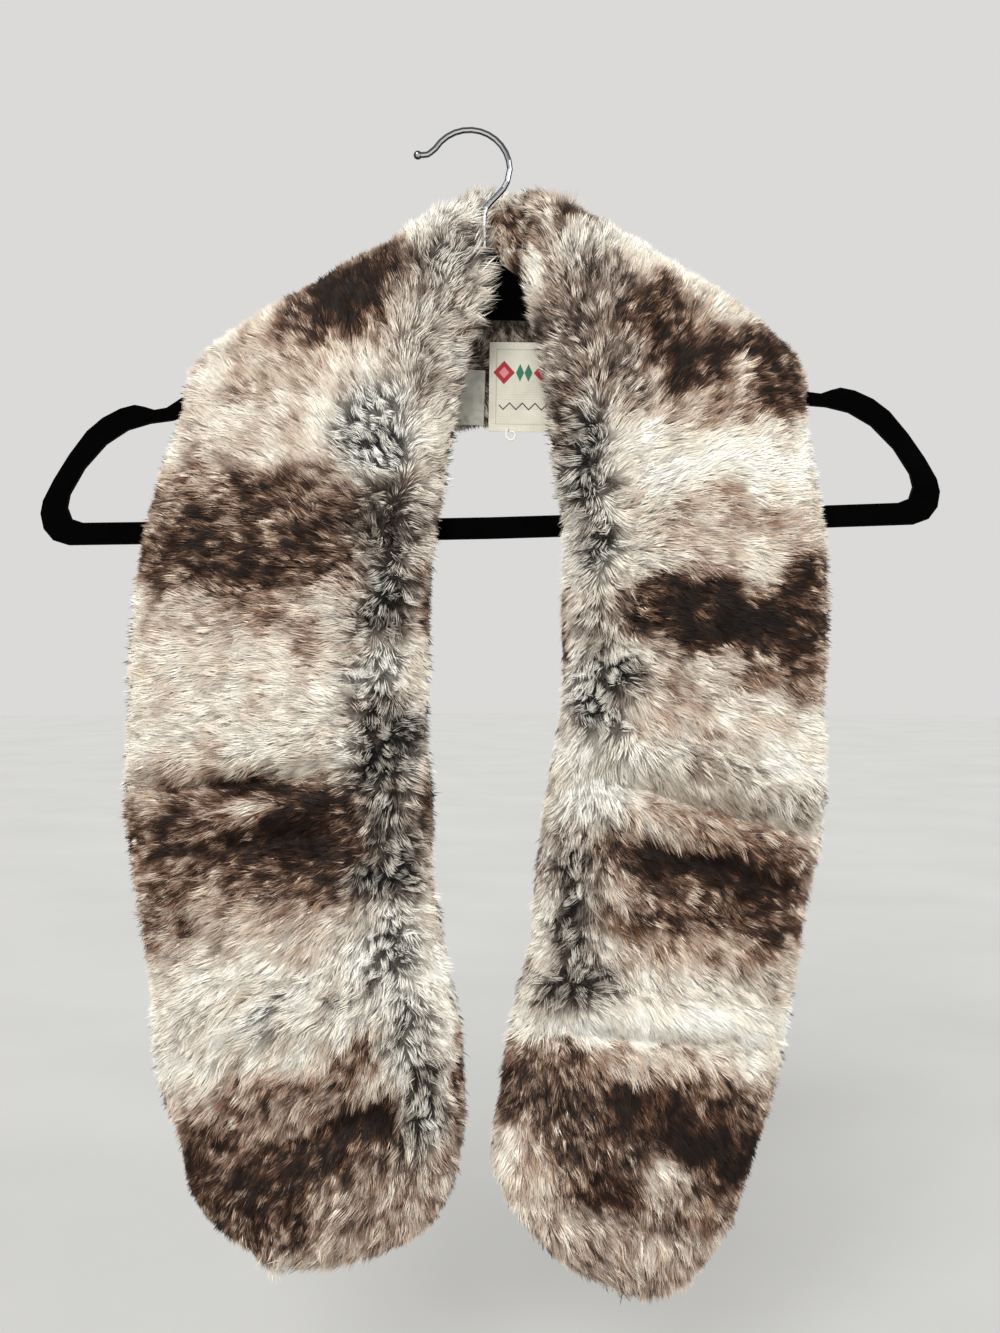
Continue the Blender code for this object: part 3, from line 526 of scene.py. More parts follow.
class Stretch:
    """Half the wrap, from a lapel's tip to the middle of the neck, as an unfolded strip."""

    def __init__(self, fold, lapel, crest, creases, comb, patches, bands):
        self.fold = fold
        self.creases = creases
        self.comb = Comb(*np.array(comb).T)
        self.patches = patches
        self.bands = bands
        rows = [(*unfolded(fold, row.x, row.z, False), *row[2:]) for row in map(metres, lapel)]
        top = metres(crest)
        rows.append((top.along, FOLD_ARC / 2.0, *top[1:]))
        for beyond in (0.0, fold.towards_neck * PAST_NECK):
            middle = metres(NECK_MIDDLE._replace(x=NECK_MIDDLE.x + beyond))
            rows.append((*unfolded(fold, middle.x, middle.z, True), *middle[2:]))
        self.rows = np.array(rows)
        steps = np.linalg.norm(np.diff(self.rows[:, :2], axis=0), axis=1)
        self.knots = np.concatenate([[0.0], np.cumsum(steps)])
        self.crest_at = self.knots[-3]
        self.middle_at = self.knots[-2]

    def half_width(self, at):
        """Half the hide's width, which stays the pile's height away from the solid's outline."""
        offsets = np.linspace(-PILE_HEIGHT, PILE_HEIGHT, OUTLINE_SAMPLES)
        spare = np.sqrt(np.maximum(PILE_HEIGHT**2 - offsets**2, 0.0))
        places = at[:, None] + offsets
        widths = through(self.knots, self.rows, places.ravel())[:, HALF_WIDTH]
        widths = np.where(places < 0.0, self.rows[0, HALF_WIDTH], widths.reshape(places.shape))
        return (widths - spare).min(axis=1)

    def read(self, at):
        """The strip's middle and sizes, and the direction across it, at distances from the tip."""
        values = through(self.knots, self.rows, at)
        values[:, HALF_WIDTH] = self.half_width(at)
        calm = np.maximum(at, self.knots[STEADY_STATION])
        ahead = through(self.knots, self.rows, calm + DIRECTION_REACH)[:, :2]
        behind = through(self.knots, self.rows, calm - DIRECTION_REACH)[:, :2]
        tangent = unit(ahead - behind)
        return values, np.stack([tangent[:, 1], -tangent[:, 0]], axis=1)

    def seam_at(self):
        """Where the lapel ends and the neck begins, just behind the fold."""
        at = np.linspace(self.crest_at, self.middle_at, SEAM_SAMPLES)
        values, _ = self.read(at)
        return float(np.interp(FOLD_ARC + SEAM_BEHIND_FOLD, values[:, 1], at))

    def behind(self, at):
        """0 while the tube still folds over the arm, and 1 in the middle of the neck."""
        return ease(at, self.crest_at + STILL_FOLDED, self.middle_at)[:, None]

    def combing(self, column, at):
        """A column of the comb's table, read at distances from the tip."""
        return np.interp(at / self.crest_at, self.comb.way, getattr(self.comb, column))[:, None]

    def middle(self, at, share):
        """The middle of the tube, where its two halves meet, folded over the arm."""
        values, across = self.read(at)
        reach = share * values[:, HALF_WIDTH, None]
        plane = values[:, None, :2] + reach[:, :, None] * across[:, None, :]
        depth = self.depth(plane[:, :, 1], share, self.behind(at))
        return self.placed(plane, depth, self.behind(at)), plane, depth, values

    def outwards(self, at, share):
        """The direction square to the middle of the tube, away from the hanger."""
        rise = self.middle(at + SMALL_STEP, share)[0] - self.middle(at - SMALL_STEP, share)[0]
        over = self.middle(at, share + SMALL_SHARE)[0] - self.middle(at, share - SMALL_SHARE)[0]
        return unit(np.cross(over, rise) * self.fold.towards_neck)

    def hide(self, at, share, side):
        """The hide's outside and its inside, for distances from the tip and shares of the width.

        side is 1 for the outer half of the tube and -1 for the inner one.
        """
        points, plane, depth, values = self.middle(at, share)
        profile = np.maximum(1.0 - np.abs(share) ** ROUNDNESS, 0.0) ** 0.5
        rim = SEAM / 2.0
        full = np.maximum(values[:, OUTER if side > 0 else INNER] - PILE_HEIGHT, LEAST_THICKNESS)
        thick = full[:, None] * profile
        if side > 0:
            swell = SWELL * ripple(*self.level(plane[:, :, 0], plane[:, :, 1]), *SWELL_WAVES) * profile
            far = np.maximum(thick - self.crease_depth(plane, profile) + swell, rim)
        else:
            turn = np.clip(plane[:, :, 1] / FOLD_RADIUS, 0.0, math.pi)
            over_arm = np.sin(turn) * (1.0 - self.behind(at))
            clearance = HANGER_CLEARANCE + (ARM_CLEARANCE - HANGER_CLEARANCE) * over_arm
            far = np.maximum(np.minimum(thick, depth - clearance - PRESSED_PILE), rim)
        near = np.maximum(far - HIDE_WALL, rim)
        square = self.outwards(at, share) * side
        return points + far[:, :, None] * square, points + near[:, :, None] * square

    def depth(self, b, share, behind):
        """How far the middle of the tube is from the hanger's plane."""
        at_fold = FOLD_DEPTH + FOLD_DEPTH_SLANT * share
        front = ease(b, *FOLD_EASES_IN)
        start, end = (FOLD_ARC + past for past in FOLD_EASES_OUT)
        back = np.maximum(ease(b, start, end), behind)
        depth = LAPEL_DEPTH + (at_fold - LAPEL_DEPTH) * front
        return depth + (NECK_DEPTH - depth) * back

    def level(self, a, b):
        """Where places of the unfolded plane are in front, as x and z."""
        along, up = fold_axes(self.fold)
        corner = (self.fold.x, self.fold.z)
        return [start + a * run + b * rise for start, run, rise in zip(corner, along, up)]

    def crease_depth(self, plane, profile):
        """How far folds in the pile lower the outer half in front."""
        x, z = self.level(plane[:, :, 0], plane[:, :, 1])
        in_front = 1.0 - ease(plane[:, :, 1], *CREASES_END)
        total = np.zeros(x.shape)
        for crease in self.creases:
            run, off = own_shares(crease, x / MM, z / MM)
            total += CREASE_DEEPER * crease.depth * MM * np.exp(-(run**4)) * np.exp(-(off**2))
        return total * in_front * profile

    def placed(self, plane, distance, behind):
        """Fold points of the unfolded plane over the arm, this far from the hanger's plane."""
        b = plane[:, :, 1]
        turn = np.clip(b / FOLD_RADIUS, 0.0, math.pi)
        over = np.minimum(b, 0.0) - np.maximum(b - FOLD_ARC, 0.0)
        rise = over + distance * np.sin(turn)
        rise = rise + (FOLD_ARC - b - rise) * behind
        y = -distance * np.cos(turn)
        y = y + (distance - y) * behind
        x, z = self.level(plane[:, :, 0], rise)
        return np.stack([x, y, z], axis=2)

    def comb_angle(self, at, share, parting):
        """Which way the hair lies, in radians from down the strip towards its outer edge."""
        beside, outer, inner = (self.combing(name, at) for name in ("parting", "outer", "inner"))
        to_outer = ease(parting - share, 0.0, 1.0 + parting)
        outer_side = beside + (outer - beside) * to_outer
        return np.radians(np.where(share < parting, outer_side, inner))


def paint(x, z, patches):
    """Tone and coolness where the patches are laid over pale pile, with uneven edges."""
    across, rise = x / MM, z / MM
    for size, reach, seed in PATCH_EDGES:
        across = across + reach * ripple(x, z, size * MM, seed)
        rise = rise + reach * ripple(x, z, size * MM, seed + 1)
    colours = (np.full(x.shape, PALE_TONE), np.full(x.shape, PALE_COOL))
    for patch in patches:
        run, off = (np.abs(share) ** PATCH_SQUARENESS for share in own_shares(patch, across, rise))
        weight = 1.0 - ease((run + off) ** (1.0 / PATCH_SQUARENESS), *PATCH_FADE)
        colours = laid_over(colours, patch, weight)
    return colours[0] + CLOUD_TONE * ripple(x, z, *CLOUD_WAVES), colours[1]


def banded(at, share, bands):
    """Tone and coolness of bands across the tube, with wavy edges."""
    along, over = np.meshgrid(at, share * BAND_HALF_WIDTH, indexing="ij")
    place = (along + BAND_WAVER * ripple(along, over, *BAND_WAVES)) / MM
    colours = (np.full(place.shape, BETWEEN_TONE), np.full(place.shape, BETWEEN_COOL))
    for band in bands:
        weight = 1.0 - ease(np.abs(place - band.along) / band.half_length, *BAND_FADE)
        colours = laid_over(colours, band, weight)
    return colours


# ---- Hides: a grid for each half of the tube, with what its hair needs to know ----

Grid = namedtuple("Grid", "far near lie tone cool stand long")


def columns():
    """Shares of the width, closer together towards the edges."""
    even = np.linspace(-1.0, 1.0, HIDE_COLUMNS + 1)
    return (1.0 - EDGE_CROWDING) * even + EDGE_CROWDING * np.sin(even * math.pi / 2.0)


def rows_between(start, end):
    """Evenly spaced distances along a stretch."""
    count = max(int(round((end - start) / HIDE_STEP)), 1)
    return np.linspace(start, end, count + 1)


def combed(stretch, at, share, far, parting):
    """The direction of the hair at each point of a grid."""
    over = unit(np.gradient(far, axis=1))
    rise = unit(np.gradient(far, axis=0))
    middle = stretch.comb_angle(at, share, parting)[:, :, None]
    inner = np.radians(stretch.combing("inner", at))[:, :, None]
    to_outer = -np.sin(middle) * over - np.cos(middle) * rise
    to_inner = np.sin(inner) * over - np.cos(inner) * rise
    turn = ease(share - parting, -PARTING_WIDTH, PARTING_WIDTH)[:, :, None]
    return unit(to_outer * (1.0 - turn) + to_inner * turn - DROOP * rise)


def standing(stretch, at, share, parting, cool):
    """How far hair stands up at each point, in tufts beside the parting and where an edge flares."""
    beyond = share - parting
    tufted = np.exp(-((beyond / TUFT_WIDTH) ** 2)) * ease(cool, *TUFTED)
    parted = PARTING_DEPTH * np.exp(-((beyond / PARTING_WIDTH) ** 2))
    stand = np.maximum(tufted, parted) * ease(at / stretch.crest_at, 0.0, PARTING_FROM_WAY)[:, None]
    return np.maximum(stand, stretch.combing("flare", at) * ease(share, *FLARED))


def hair_length(stretch, at, share, tone, stand):
    """The hair's length at each point, as a share of its coat's."""
    rim = 1.0 - (1.0 - RIM_LENGTH) * ease(np.abs(share), *RIM_SHORTENS) * (1.0 - stand)
    crest = 1.0 - (1.0 - CREST_LENGTH) * ease(at / stretch.crest_at, *CREST_SHORTENS)[:, None]
    long = np.minimum(rim, crest) * (1.0 - STAND_SHORTER * stand)
    long = long * (1.0 + FLARE_LONGER * stretch.combing("flare", at) ** 2 * ease(share, *FLARED))
    return long * (1.0 - BROWN_SHORTER * (1.0 - ease(tone, *BROWN_TO_PALE)))


def grid_of(stretch, at, side, parting_at, colours):
    """One hide's points, hair directions and colours: from patches, or banded if there are none."""
    share = columns()
    far, near = stretch.hide(at, share, side)
    parting = (parting_at + PARTING_WAVER * ripple(at, at, *PARTING_WAVES))[:, None]
    lie = combed(stretch, at, share, far, parting)
    if colours is None:
        tone, cool = banded(at, share, stretch.bands)
    else:
        # What shows is the tip, so each root takes the colour of where its hair ends.
        tips = far + lie * TIP_REACH
        tone, cool = paint(tips[:, :, 0], tips[:, :, 2], colours)
    stand = standing(stretch, at, share, parting, cool)
    return Grid(far, near, lie, tone, cool, stand, hair_length(stretch, at, share, tone, stand))


def joined(first, second):
    """Two grids that meet in the middle of the neck, as one."""
    parts = []
    for ours, theirs in zip(first, second):
        middle = (ours[-1] + theirs[-1]) / 2.0
        parts.append(np.concatenate([ours[:-1], middle[None], theirs[-2::-1]]))
    return Grid(*parts)


def guides(grid):
    """What each root tells its hair, worked out from the colour and the comb."""
    brown = grid.tone * np.clip(1.0 - grid.tone, 0.0, 1.0) ** BROWN_POWER
    told = {row.name: row.calm + row.standing * grid.stand + row.brown * brown for row in GUIDES}
    told["locks"] = 1.0 - COOL_TUFT_LOCKS * grid.stand * grid.cool
    gather = np.minimum(grid.long**SHORT_GATHERS, grid.long**LONG_GATHERS)
    told["gather"] = gather * (1.0 + STAND_GATHERS * grid.stand)
    return {"tone": grid.tone, "cool": grid.cool, "long": grid.long, **told}


def shelled(outside, inside):
    """Values of a shell's outside, followed by those of its inside without the rims."""
    each = outside.shape[2:]
    return np.concatenate([outside.reshape(-1, *each), inside[:, 1:-1].reshape(-1, *each)])


def hide_object(name, grid, look):
    """A closed thin shell: the hide's outside and inside, joined at the rims and the ends."""
    rows, count = grid.tone.shape
    outside = np.arange(rows * count).reshape(rows, count)
    inside = outside.copy()
    inside[:, 1:-1] = rows * count + np.arange(rows * (count - 2)).reshape(rows, count - 2)
    faces = []
    for sheet in (outside, inside):
        quads = np.stack([sheet[:-1, :-1], sheet[:-1, 1:], sheet[1:, 1:], sheet[1:, :-1]], axis=-1)
        faces.append(quads.reshape(-1, 4))
    mesh = bmesh.new()
    verts = [mesh.verts.new(point) for point in shelled(grid.far, grid.near)]
    for quad in np.concatenate(faces):
        mesh.faces.new([verts[i] for i in quad])
    for row in (0, rows - 1):
        for i in range(count - 1):
            corners = (outside[row, i], outside[row, i + 1], inside[row, i + 1], inside[row, i])
            mesh.faces.new([verts[k] for k in dict.fromkeys(corners)])
    bmesh.ops.recalc_face_normals(mesh, faces=mesh.faces)
    data = bpy.data.meshes.new(name)
    mesh.to_mesh(data)
    mesh.free()
    data.shade_smooth()
    outer = shelled(np.ones(grid.tone.shape), np.zeros(grid.tone.shape))
    store(data, "hair", outer)
    for label, values in guides(grid).items():
        both = shelled(values, values)
        store(data, label, both * outer if label == "locks" else both)
    store(data, "lie", shelled(grid.lie, grid.lie))
    data.materials.append(look)
    return placed_in_scene(name, data)


def placed_in_scene(name, data):
    """An object at the origin, in the scene."""
    made = bpy.data.objects.new(name, data)
    bpy.context.scene.collection.objects.link(made)
    return made


def store(mesh, name, values):
    """Keep one number or vector for each vertex under a name."""
    kind, field = ("FLOAT", "value") if values.ndim == 1 else ("FLOAT_VECTOR", "vector")
    layer = mesh.attributes.new(name, kind, "POINT")
    layer.data.foreach_set(field, np.ascontiguousarray(values, dtype=np.float32).ravel())


# ---- Nodes ----

NUMBERS = "ShaderNodeMath"
VECTORS = "ShaderNodeVectorMath"
NOISE = "ShaderNodeTexNoise"
RANGE = "ShaderNodeMapRange"
RAMP = "ShaderNodeValToRGB"
MIX = "ShaderNodeMix"
BUMP = "ShaderNodeBump"
KEEP = "GeometryNodeStoreNamedAttribute"
KEPT = "ShaderNodeAttribute"


def add(tree, kind, inputs=(), stops=(), **settings):
    """Add a node with its settings and links.

    Inputs are given in order or by name, and a node among them stands for its first output in use.
    Stops are a colour ramp's places and hex colours.
    """
    node = tree.nodes.new(kind)
    for name, value in settings.items():
        setattr(node, name, value)
    for place, _ in stops[2:]:
        node.color_ramp.elements.new(place)
    for i, (place, colour) in enumerate(stops):
        node.color_ramp.elements[i].position = place
        node.color_ramp.elements[i].color = linear(colour)
    named = {socket.name: socket for socket in reversed(list(node.inputs)) if socket.enabled}
    for key, source in inputs.items() if isinstance(inputs, dict) else enumerate(inputs):
        if isinstance(source, bpy.types.Node):
            source = next(socket for socket in source.outputs if socket.enabled)
        socket = named.get(key) or node.inputs[key]
        if isinstance(source, bpy.types.NodeSocket):
            tree.links.new(source, socket)
        else:
            socket.default_value = source
    return node


def geometry_tree(name, inputs):
    """An empty tree for a modifier, with named inputs, and what comes in through them."""
    tree = bpy.data.node_groups.new(name, "GeometryNodeTree")
    for label, kind in {"Geometry": "Geometry", **inputs}.items():
        tree.interface.new_socket(label, in_out="INPUT", socket_type="NodeSocket" + kind)
    tree.interface.new_socket("Geometry", in_out="OUTPUT", socket_type="NodeSocketGeometry")
    return tree, tree.nodes.new("NodeGroupInput").outputs


def with_modifier(hide, tree, given):
    """The plain mesh that a tree makes of an object, which is left as it was."""
    modifier = hide.modifiers.new(tree.name, "NODES")
    modifier.node_group = tree
    for item in tree.interface.items_tree:
        if item.in_out == "INPUT" and item.name in given:
            modifier[item.identifier] = given[item.name]
    bpy.context.view_layer.update()
    seen = bpy.context.evaluated_depsgraph_get()
    data = bpy.data.meshes.new_from_object(hide.evaluated_get(seen))
    hide.modifiers.remove(modifier)
    return data


PILE_INPUTS = {
    "Hair shape": "Object", "Hairs per square metre": "Float", "Locks per square metre": "Float",
    "Length": "Float", "Width": "Float", "Lock pull": "Float", "Tone spread": "Float",
    "Mottle": "Float", "Seed": "Int", "Material": "Material",
}

# What each point of a hide or of a hair tells the tree.
READ_GUIDES = {
    "FLOAT": ("along", "cool", "gather", "hair", "locks", "long", "loose", "mottle", "reach", "rise",
              "spread", "steady", "tone"),
    "FLOAT_VECTOR": ("lie", "pull"),
}

# Noise is 0.5 in the middle. Locks have their own seed. How far the fields turn hair and make it
# ashen, how suddenly hair turns into its lock, and how much of the mottling is fine speckles.
NOISE_MIDDLE = 0.5
LOCK_SEED_STEP = 17
WANDER_TURN = 1.6
ASH_COOLS = 1.1
TIPS_GATHER = 1.4
SPECKLES = 1.4

# What differs at random from hair to hair or from lock to lock: the lowest and highest value, and
# its seed.
Draw = namedtuple("Draw", "name low high seed by_lock")
DRAWS = table(
    Draw,
    ("lock turn", -0.3, 0.3, 3, True),
    ("hair turn", -0.15, 0.15, 4, False),
    ("lock rise", -0.14, 0.18, 5, True),
    ("hair rise", -0.07, 0.09, 6, False),
    ("hair roll", -0.25, 0.25, 7, False),
    ("lock tone", -1.2, 1.2, 8, True),
    ("hair tone", -0.45, 0.45, 9, False),
    ("hair reach", 0.75, 1.25, 10, False),
    ("side facing", -0.4, 0.4, 11, True),
    ("back facing", -0.28, 0.2, 12, True),
    ("hair length", 0.75, 1.25, 13, False),
    ("lock length", 0.85, 1.15, 14, True),
    ("hair width", 0.7, 1.3, 15, False),
)

# Uneven fields that turn the hair, streak it with ash and mottle the dye: the size of their
# features and their detail.
Field = namedtuple("Field", "name size detail")
FIELDS = table(
    Field, ("wander", 24.0 * MM, 1.0), ("ash", 14.0 * MM, 2.0), ("mottle", 7.5 * MM, 2.0),
    ("speckle", 3.6 * MM, 1.0),
)


def pile_tree():
    """Hair grown from a hide: it follows the comb, gathers into locks and keeps its root's colour."""
    tree, given = geometry_tree("fur pile", PILE_INPUTS)
    place = add(tree, "GeometryNodeInputPosition")
    at = {}
    for kind, names in READ_GUIDES.items():
        for name in names:
            at[name] = add(tree, "GeometryNodeInputNamedAttribute", {"Name": name}, data_type=kind)
    field = {}
    for row in FIELDS:
        uneven = add(tree, NOISE, {
            "Vector": place, "Scale": 1.0 / row.size, "Detail": row.detail, "Roughness": 0.6})
        field[row.name] = add(tree, NUMBERS, (uneven, NOISE_MIDDLE), operation="SUBTRACT")

    # Roots, and the fewer points that locks of hair gather to.
    lock_seed = add(tree, NUMBERS, (given["Seed"], LOCK_SEED_STEP), operation="ADD")
    spread = []
    for what, guide, seed in (("Hairs", "hair", given["Seed"]), ("Locks", "locks", lock_seed)):
        most = given[what + " per square metre"]
        density = add(tree, NUMBERS, (most, at[guide]), operation="MULTIPLY")
        spread.append(add(tree, "GeometryNodeDistributePointsOnFaces", {
            "Mesh": given["Geometry"], "Density": density, "Seed": seed}))
    roots, locks = spread
    own_lock = add(tree, "GeometryNodeSampleNearest", {"Geometry": locks, "Sample Position": place})
    lock_place = add(tree, "GeometryNodeSampleIndex", {
        "Geometry": locks, "Value": place, "Index": own_lock}, data_type="FLOAT_VECTOR")
    square = roots.outputs["Normal"]
    draw = {}
    for row in DRAWS:
        inputs = {"Min": row.low, "Max": row.high, "Seed": row.seed}
        if row.by_lock:
            inputs["ID"] = own_lock
        draw[row.name] = add(tree, "FunctionNodeRandomValue", inputs, data_type="FLOAT")

    # Hair turns from the comb by place, by lock and by itself, and rises from the hide.
    astray = add(tree, NUMBERS, (draw["lock turn"], at["loose"]), operation="MULTIPLY")
    for turn, share in ((draw["hair turn"], at["steady"]), (field["wander"], WANDER_TURN)):
        astray = add(tree, NUMBERS, (turn, share, astray), operation="MULTIPLY_ADD")
    lie = add(tree, "ShaderNodeVectorRotate", {"Vector": at["lie"], "Axis": square, "Angle": astray},
              rotation_type="AXIS_ANGLE")
    rise = at["rise"]
    for more in (draw["lock rise"], draw["hair rise"]):
        rise = add(tree, NUMBERS, (rise, more), operation="ADD")
    rise = add(tree, NUMBERS, (rise, -1.0), operation="MULTIPLY")
    flat = add(tree, "FunctionNodeAxesToRotation", (square, lie), primary_axis="Z", secondary_axis="X")
    tilt = add(tree, "ShaderNodeCombineXYZ", (draw["hair roll"], rise, 0.0))
    tilt = add(tree, "FunctionNodeEulerToRotation", (tilt,))
    leaning = add(tree, "FunctionNodeRotateRotation", (flat, tilt), rotation_space="LOCAL")

    # Tone and coolness. The coolness is rounded to the rows of the colour map.
    tone = add(tree, NUMBERS, (draw["lock tone"], draw["hair tone"]), operation="ADD")
    tone = add(tree, NUMBERS, (tone, given["Tone spread"]), operation="MULTIPLY")
    tone = add(tree, NUMBERS, (tone, at["spread"], at["tone"]), operation="MULTIPLY_ADD")
    ash = add(tree, NUMBERS, (field["ash"], at["tone"]), operation="MULTIPLY")
    ash = add(tree, NUMBERS, (ash, ASH_COOLS, at["cool"]), operation="MULTIPLY_ADD")
    row_gap = 1.0 / (COLOUR_MAP_ROWS - 1.0)
    ash = add(tree, NUMBERS, (ash, row_gap / 2.0), operation="ADD")
    ash = add(tree, NUMBERS, (ash, row_gap), operation="SNAP", use_clamp=True)

    # Each hair's face is turned a little from the hide's, as a round hair's shine would be.
    across = add(tree, VECTORS, (square, lie), operation="CROSS_PRODUCT")
    across = add(tree, VECTORS, {0: across, "Scale": draw["side facing"]}, operation="SCALE")
    backwards = add(tree, VECTORS, {0: lie, "Scale": draw["back facing"]}, operation="SCALE")
    facing = add(tree, VECTORS, (across, backwards), operation="ADD")
    facing = add(tree, VECTORS, (facing, square), operation="ADD")
    facing = add(tree, VECTORS, (facing,), operation="NORMALIZE")
    pull = add(tree, VECTORS, (lock_place, place), operation="SUBTRACT")
    points = roots.outputs["Points"]
    for name, kind, value in (("tone", "FLOAT", tone), ("cool", "FLOAT", ash),
                              ("reach", "FLOAT", draw["hair reach"]), ("pull", "FLOAT_VECTOR", pull),
                              ("facing", "FLOAT_VECTOR", facing)):
        points = add(tree, KEEP, {"Geometry": points, "Name": name, "Value": value},
                     data_type=kind, domain="POINT")

    length = given["Length"]
    for factor in (at["long"], draw["hair length"], draw["lock length"]):
        length = add(tree, NUMBERS, (length, factor), operation="MULTIPLY")
    width = add(tree, NUMBERS, (given["Width"], draw["hair width"]), operation="MULTIPLY")
    size = add(tree, "ShaderNodeCombineXYZ", (length, width, length))
    shape = add(tree, "GeometryNodeObjectInfo", {"Object": given["Hair shape"]})
    hairs = add(tree, "GeometryNodeInstanceOnPoints", {
        "Points": points, "Instance": shape.outputs["Geometry"], "Rotation": leaning, "Scale": size})
    hairs = add(tree, "GeometryNodeRealizeInstances", (hairs,))

    # Tips gather to the middle of their lock, and the dye is mottled where it meets the tips.
    inwards = add(tree, NUMBERS, (at["along"], TIPS_GATHER), operation="POWER")
    for factor in (at["gather"], given["Lock pull"]):
        inwards = add(tree, NUMBERS, (inwards, factor), operation="MULTIPLY")
    inwards = add(tree, VECTORS, {0: at["pull"], "Scale": inwards}, operation="SCALE")
    hairs = add(tree, "GeometryNodeSetPosition", {"Geometry": hairs, "Offset": inwards})
    reach = add(tree, NUMBERS, (at["along"], at["reach"]), operation="MULTIPLY", use_clamp=True)
    mottle = add(tree, NUMBERS, (field["speckle"], SPECKLES, field["mottle"]), operation="MULTIPLY_ADD")
    mottle = add(tree, NUMBERS, (mottle, given["Mottle"]), operation="MULTIPLY")
    dyed = add(tree, NUMBERS, (mottle, at["mottle"], at["tone"]), operation="MULTIPLY_ADD",
               use_clamp=True)
    for name, value in (("along", reach), ("tone", dyed)):
        hairs = add(tree, KEEP, {"Geometry": hairs, "Name": name, "Value": value}, data_type="FLOAT",
                    domain="POINT")
    hairs = add(tree, "GeometryNodeSetMaterial", {"Geometry": hairs, "Material": given["Material"]})
    add(tree, "NodeGroupOutput", (hairs,))
    return tree


STITCH_INPUTS = {"Pitch": "Float", "Length": "Float", "Radius": "Float", "Material": "Material"}


def stitch_tree():
    """A row of short stitches along a line that lies on cloth."""
    tree, given = geometry_tree("stitches", STITCH_INPUTS)
    line = add(tree, "GeometryNodeMeshToCurve", {"Mesh": given["Geometry"]})
    places = add(tree, "GeometryNodeResampleCurve", {"Curve": line, "Length": given["Pitch"]},
                 mode="LENGTH")
    tangent = add(tree, "GeometryNodeInputTangent")
    turned = add(tree, "FunctionNodeAlignRotationToVector", {"Vector": tangent}, axis="X")
    half = add(tree, NUMBERS, (given["Length"], 0.5), operation="MULTIPLY")
    size = add(tree, "ShaderNodeCombineXYZ", (half, given["Radius"], given["Radius"]))
    stitch = add(tree, "GeometryNodeMeshUVSphere", {"Segments": 8, "Rings": 5, "Radius": 1.0})
    row = add(tree, "GeometryNodeInstanceOnPoints", {
        "Points": places, "Instance": stitch, "Rotation": turned, "Scale": size})
    row = add(tree, "GeometryNodeRealizeInstances", (row,))
    row = add(tree, "GeometryNodeSetShadeSmooth", {"Geometry": row})
    row = add(tree, "GeometryNodeSetMaterial", {"Geometry": row, "Material": given["Material"]})
    add(tree, "NodeGroupOutput", (row,))
    return tree


# A hair is a narrow blade: each ring's place along it and above its root, as shares of its length,
# and its width as a share of the widest. A ring without width is a point.
Ring = namedtuple("Ring", "out rise width")
GUARD_HAIR = table(Ring, (0.0, 0.0, 0.0), (0.42, 0.26, 1.0), (0.95, 0.34, 0.0))
UNDER_HAIR = table(Ring, (0.0, 0.0, 1.0), (0.8, 0.52, 0.0))


def hair_shape(name, rings):
    """One hair, one long and one wide, that lies along X and faces up."""
    points, sides, alongs, loops = [], [], [], []
    for ring in rings:
        edge = (-1.0, 1.0) if ring.width else (0.0,)
        loops.append([len(points) + i for i in range(len(edge))])
        points += [(ring.out, side * ring.width / 2.0, ring.rise) for side in edge]
        sides += edge
        alongs += [ring.out / rings[-1].out] * len(edge)
    faces = [(*low, *reversed(high)) for low, high in zip(loops, loops[1:])]
    data = bpy.data.meshes.new(name)
    data.from_pydata(points, [], [face[::-1] for face in faces])
    store(data, "along", np.array(alongs))
    store(data, "side", np.array(sides))
    return placed_in_scene(name, data)


# What only the growing needs, and the finished hair doesn't keep.
SPARE_GUIDES = ("gather", "hair", "lie", "locks", "long", "loose", "mottle", "pull", "reach", "rise",
                "side", "spread", "steady")


def grown(name, hide, tree, given):
    """The hair that a hide grows, as a plain mesh."""
    data = with_modifier(hide, tree, given)
    data.name = name
    facing = np.zeros(len(data.vertices) * 3, dtype=np.float32)
    data.attributes["facing"].data.foreach_get("vector", facing)
    data.shade_smooth()
    data.normals_split_custom_set_from_vertices(facing.reshape(-1, 3))
    lay_colour_map(data)
    for label in SPARE_GUIDES:
        data.attributes.remove(data.attributes[label])
    return placed_in_scene(name, data)


def lay_colour_map(data):
    """A UV map on which each hair lies where its own colours are: tone across, and along it up."""
    corners = np.zeros(len(data.loops), dtype=np.int32)
    data.loops.foreach_get("vertex_index", corners)
    read = {}
    for label in ("tone", "cool", "along", "side"):
        read[label] = np.zeros(len(data.vertices), dtype=np.float32)
        data.attributes[label].data.foreach_get("value", read[label])
    row = np.round(read["cool"] * (COLOUR_MAP_ROWS - 1))
    tone = (1.0 - 2.0 * MAP_MARGIN) * read["tone"]
    along = (1.0 - 2.0 * ROW_MARGIN) * read["along"]
    u = MAP_MARGIN + tone + read["side"] * COLOUR_MAP_SIDE
    v = (row + ROW_MARGIN + along) / COLOUR_MAP_ROWS
    layer = data.uv_layers.new(name="OFBake")
    layer.data.foreach_set("uv", np.stack([u[corners], v[corners]], axis=1).ravel())


# ---- Materials ----


def linear(code):
    """An sRGB hex colour as linear red, green, blue and alpha."""
    shares = [int(code[i:i + 2], 16) / 255.0 for i in (1, 3, 5)]
    return (*(s / 12.92 if s <= 0.04045 else ((s + 0.055) / 1.055) ** 2.4 for s in shares), 1.0)


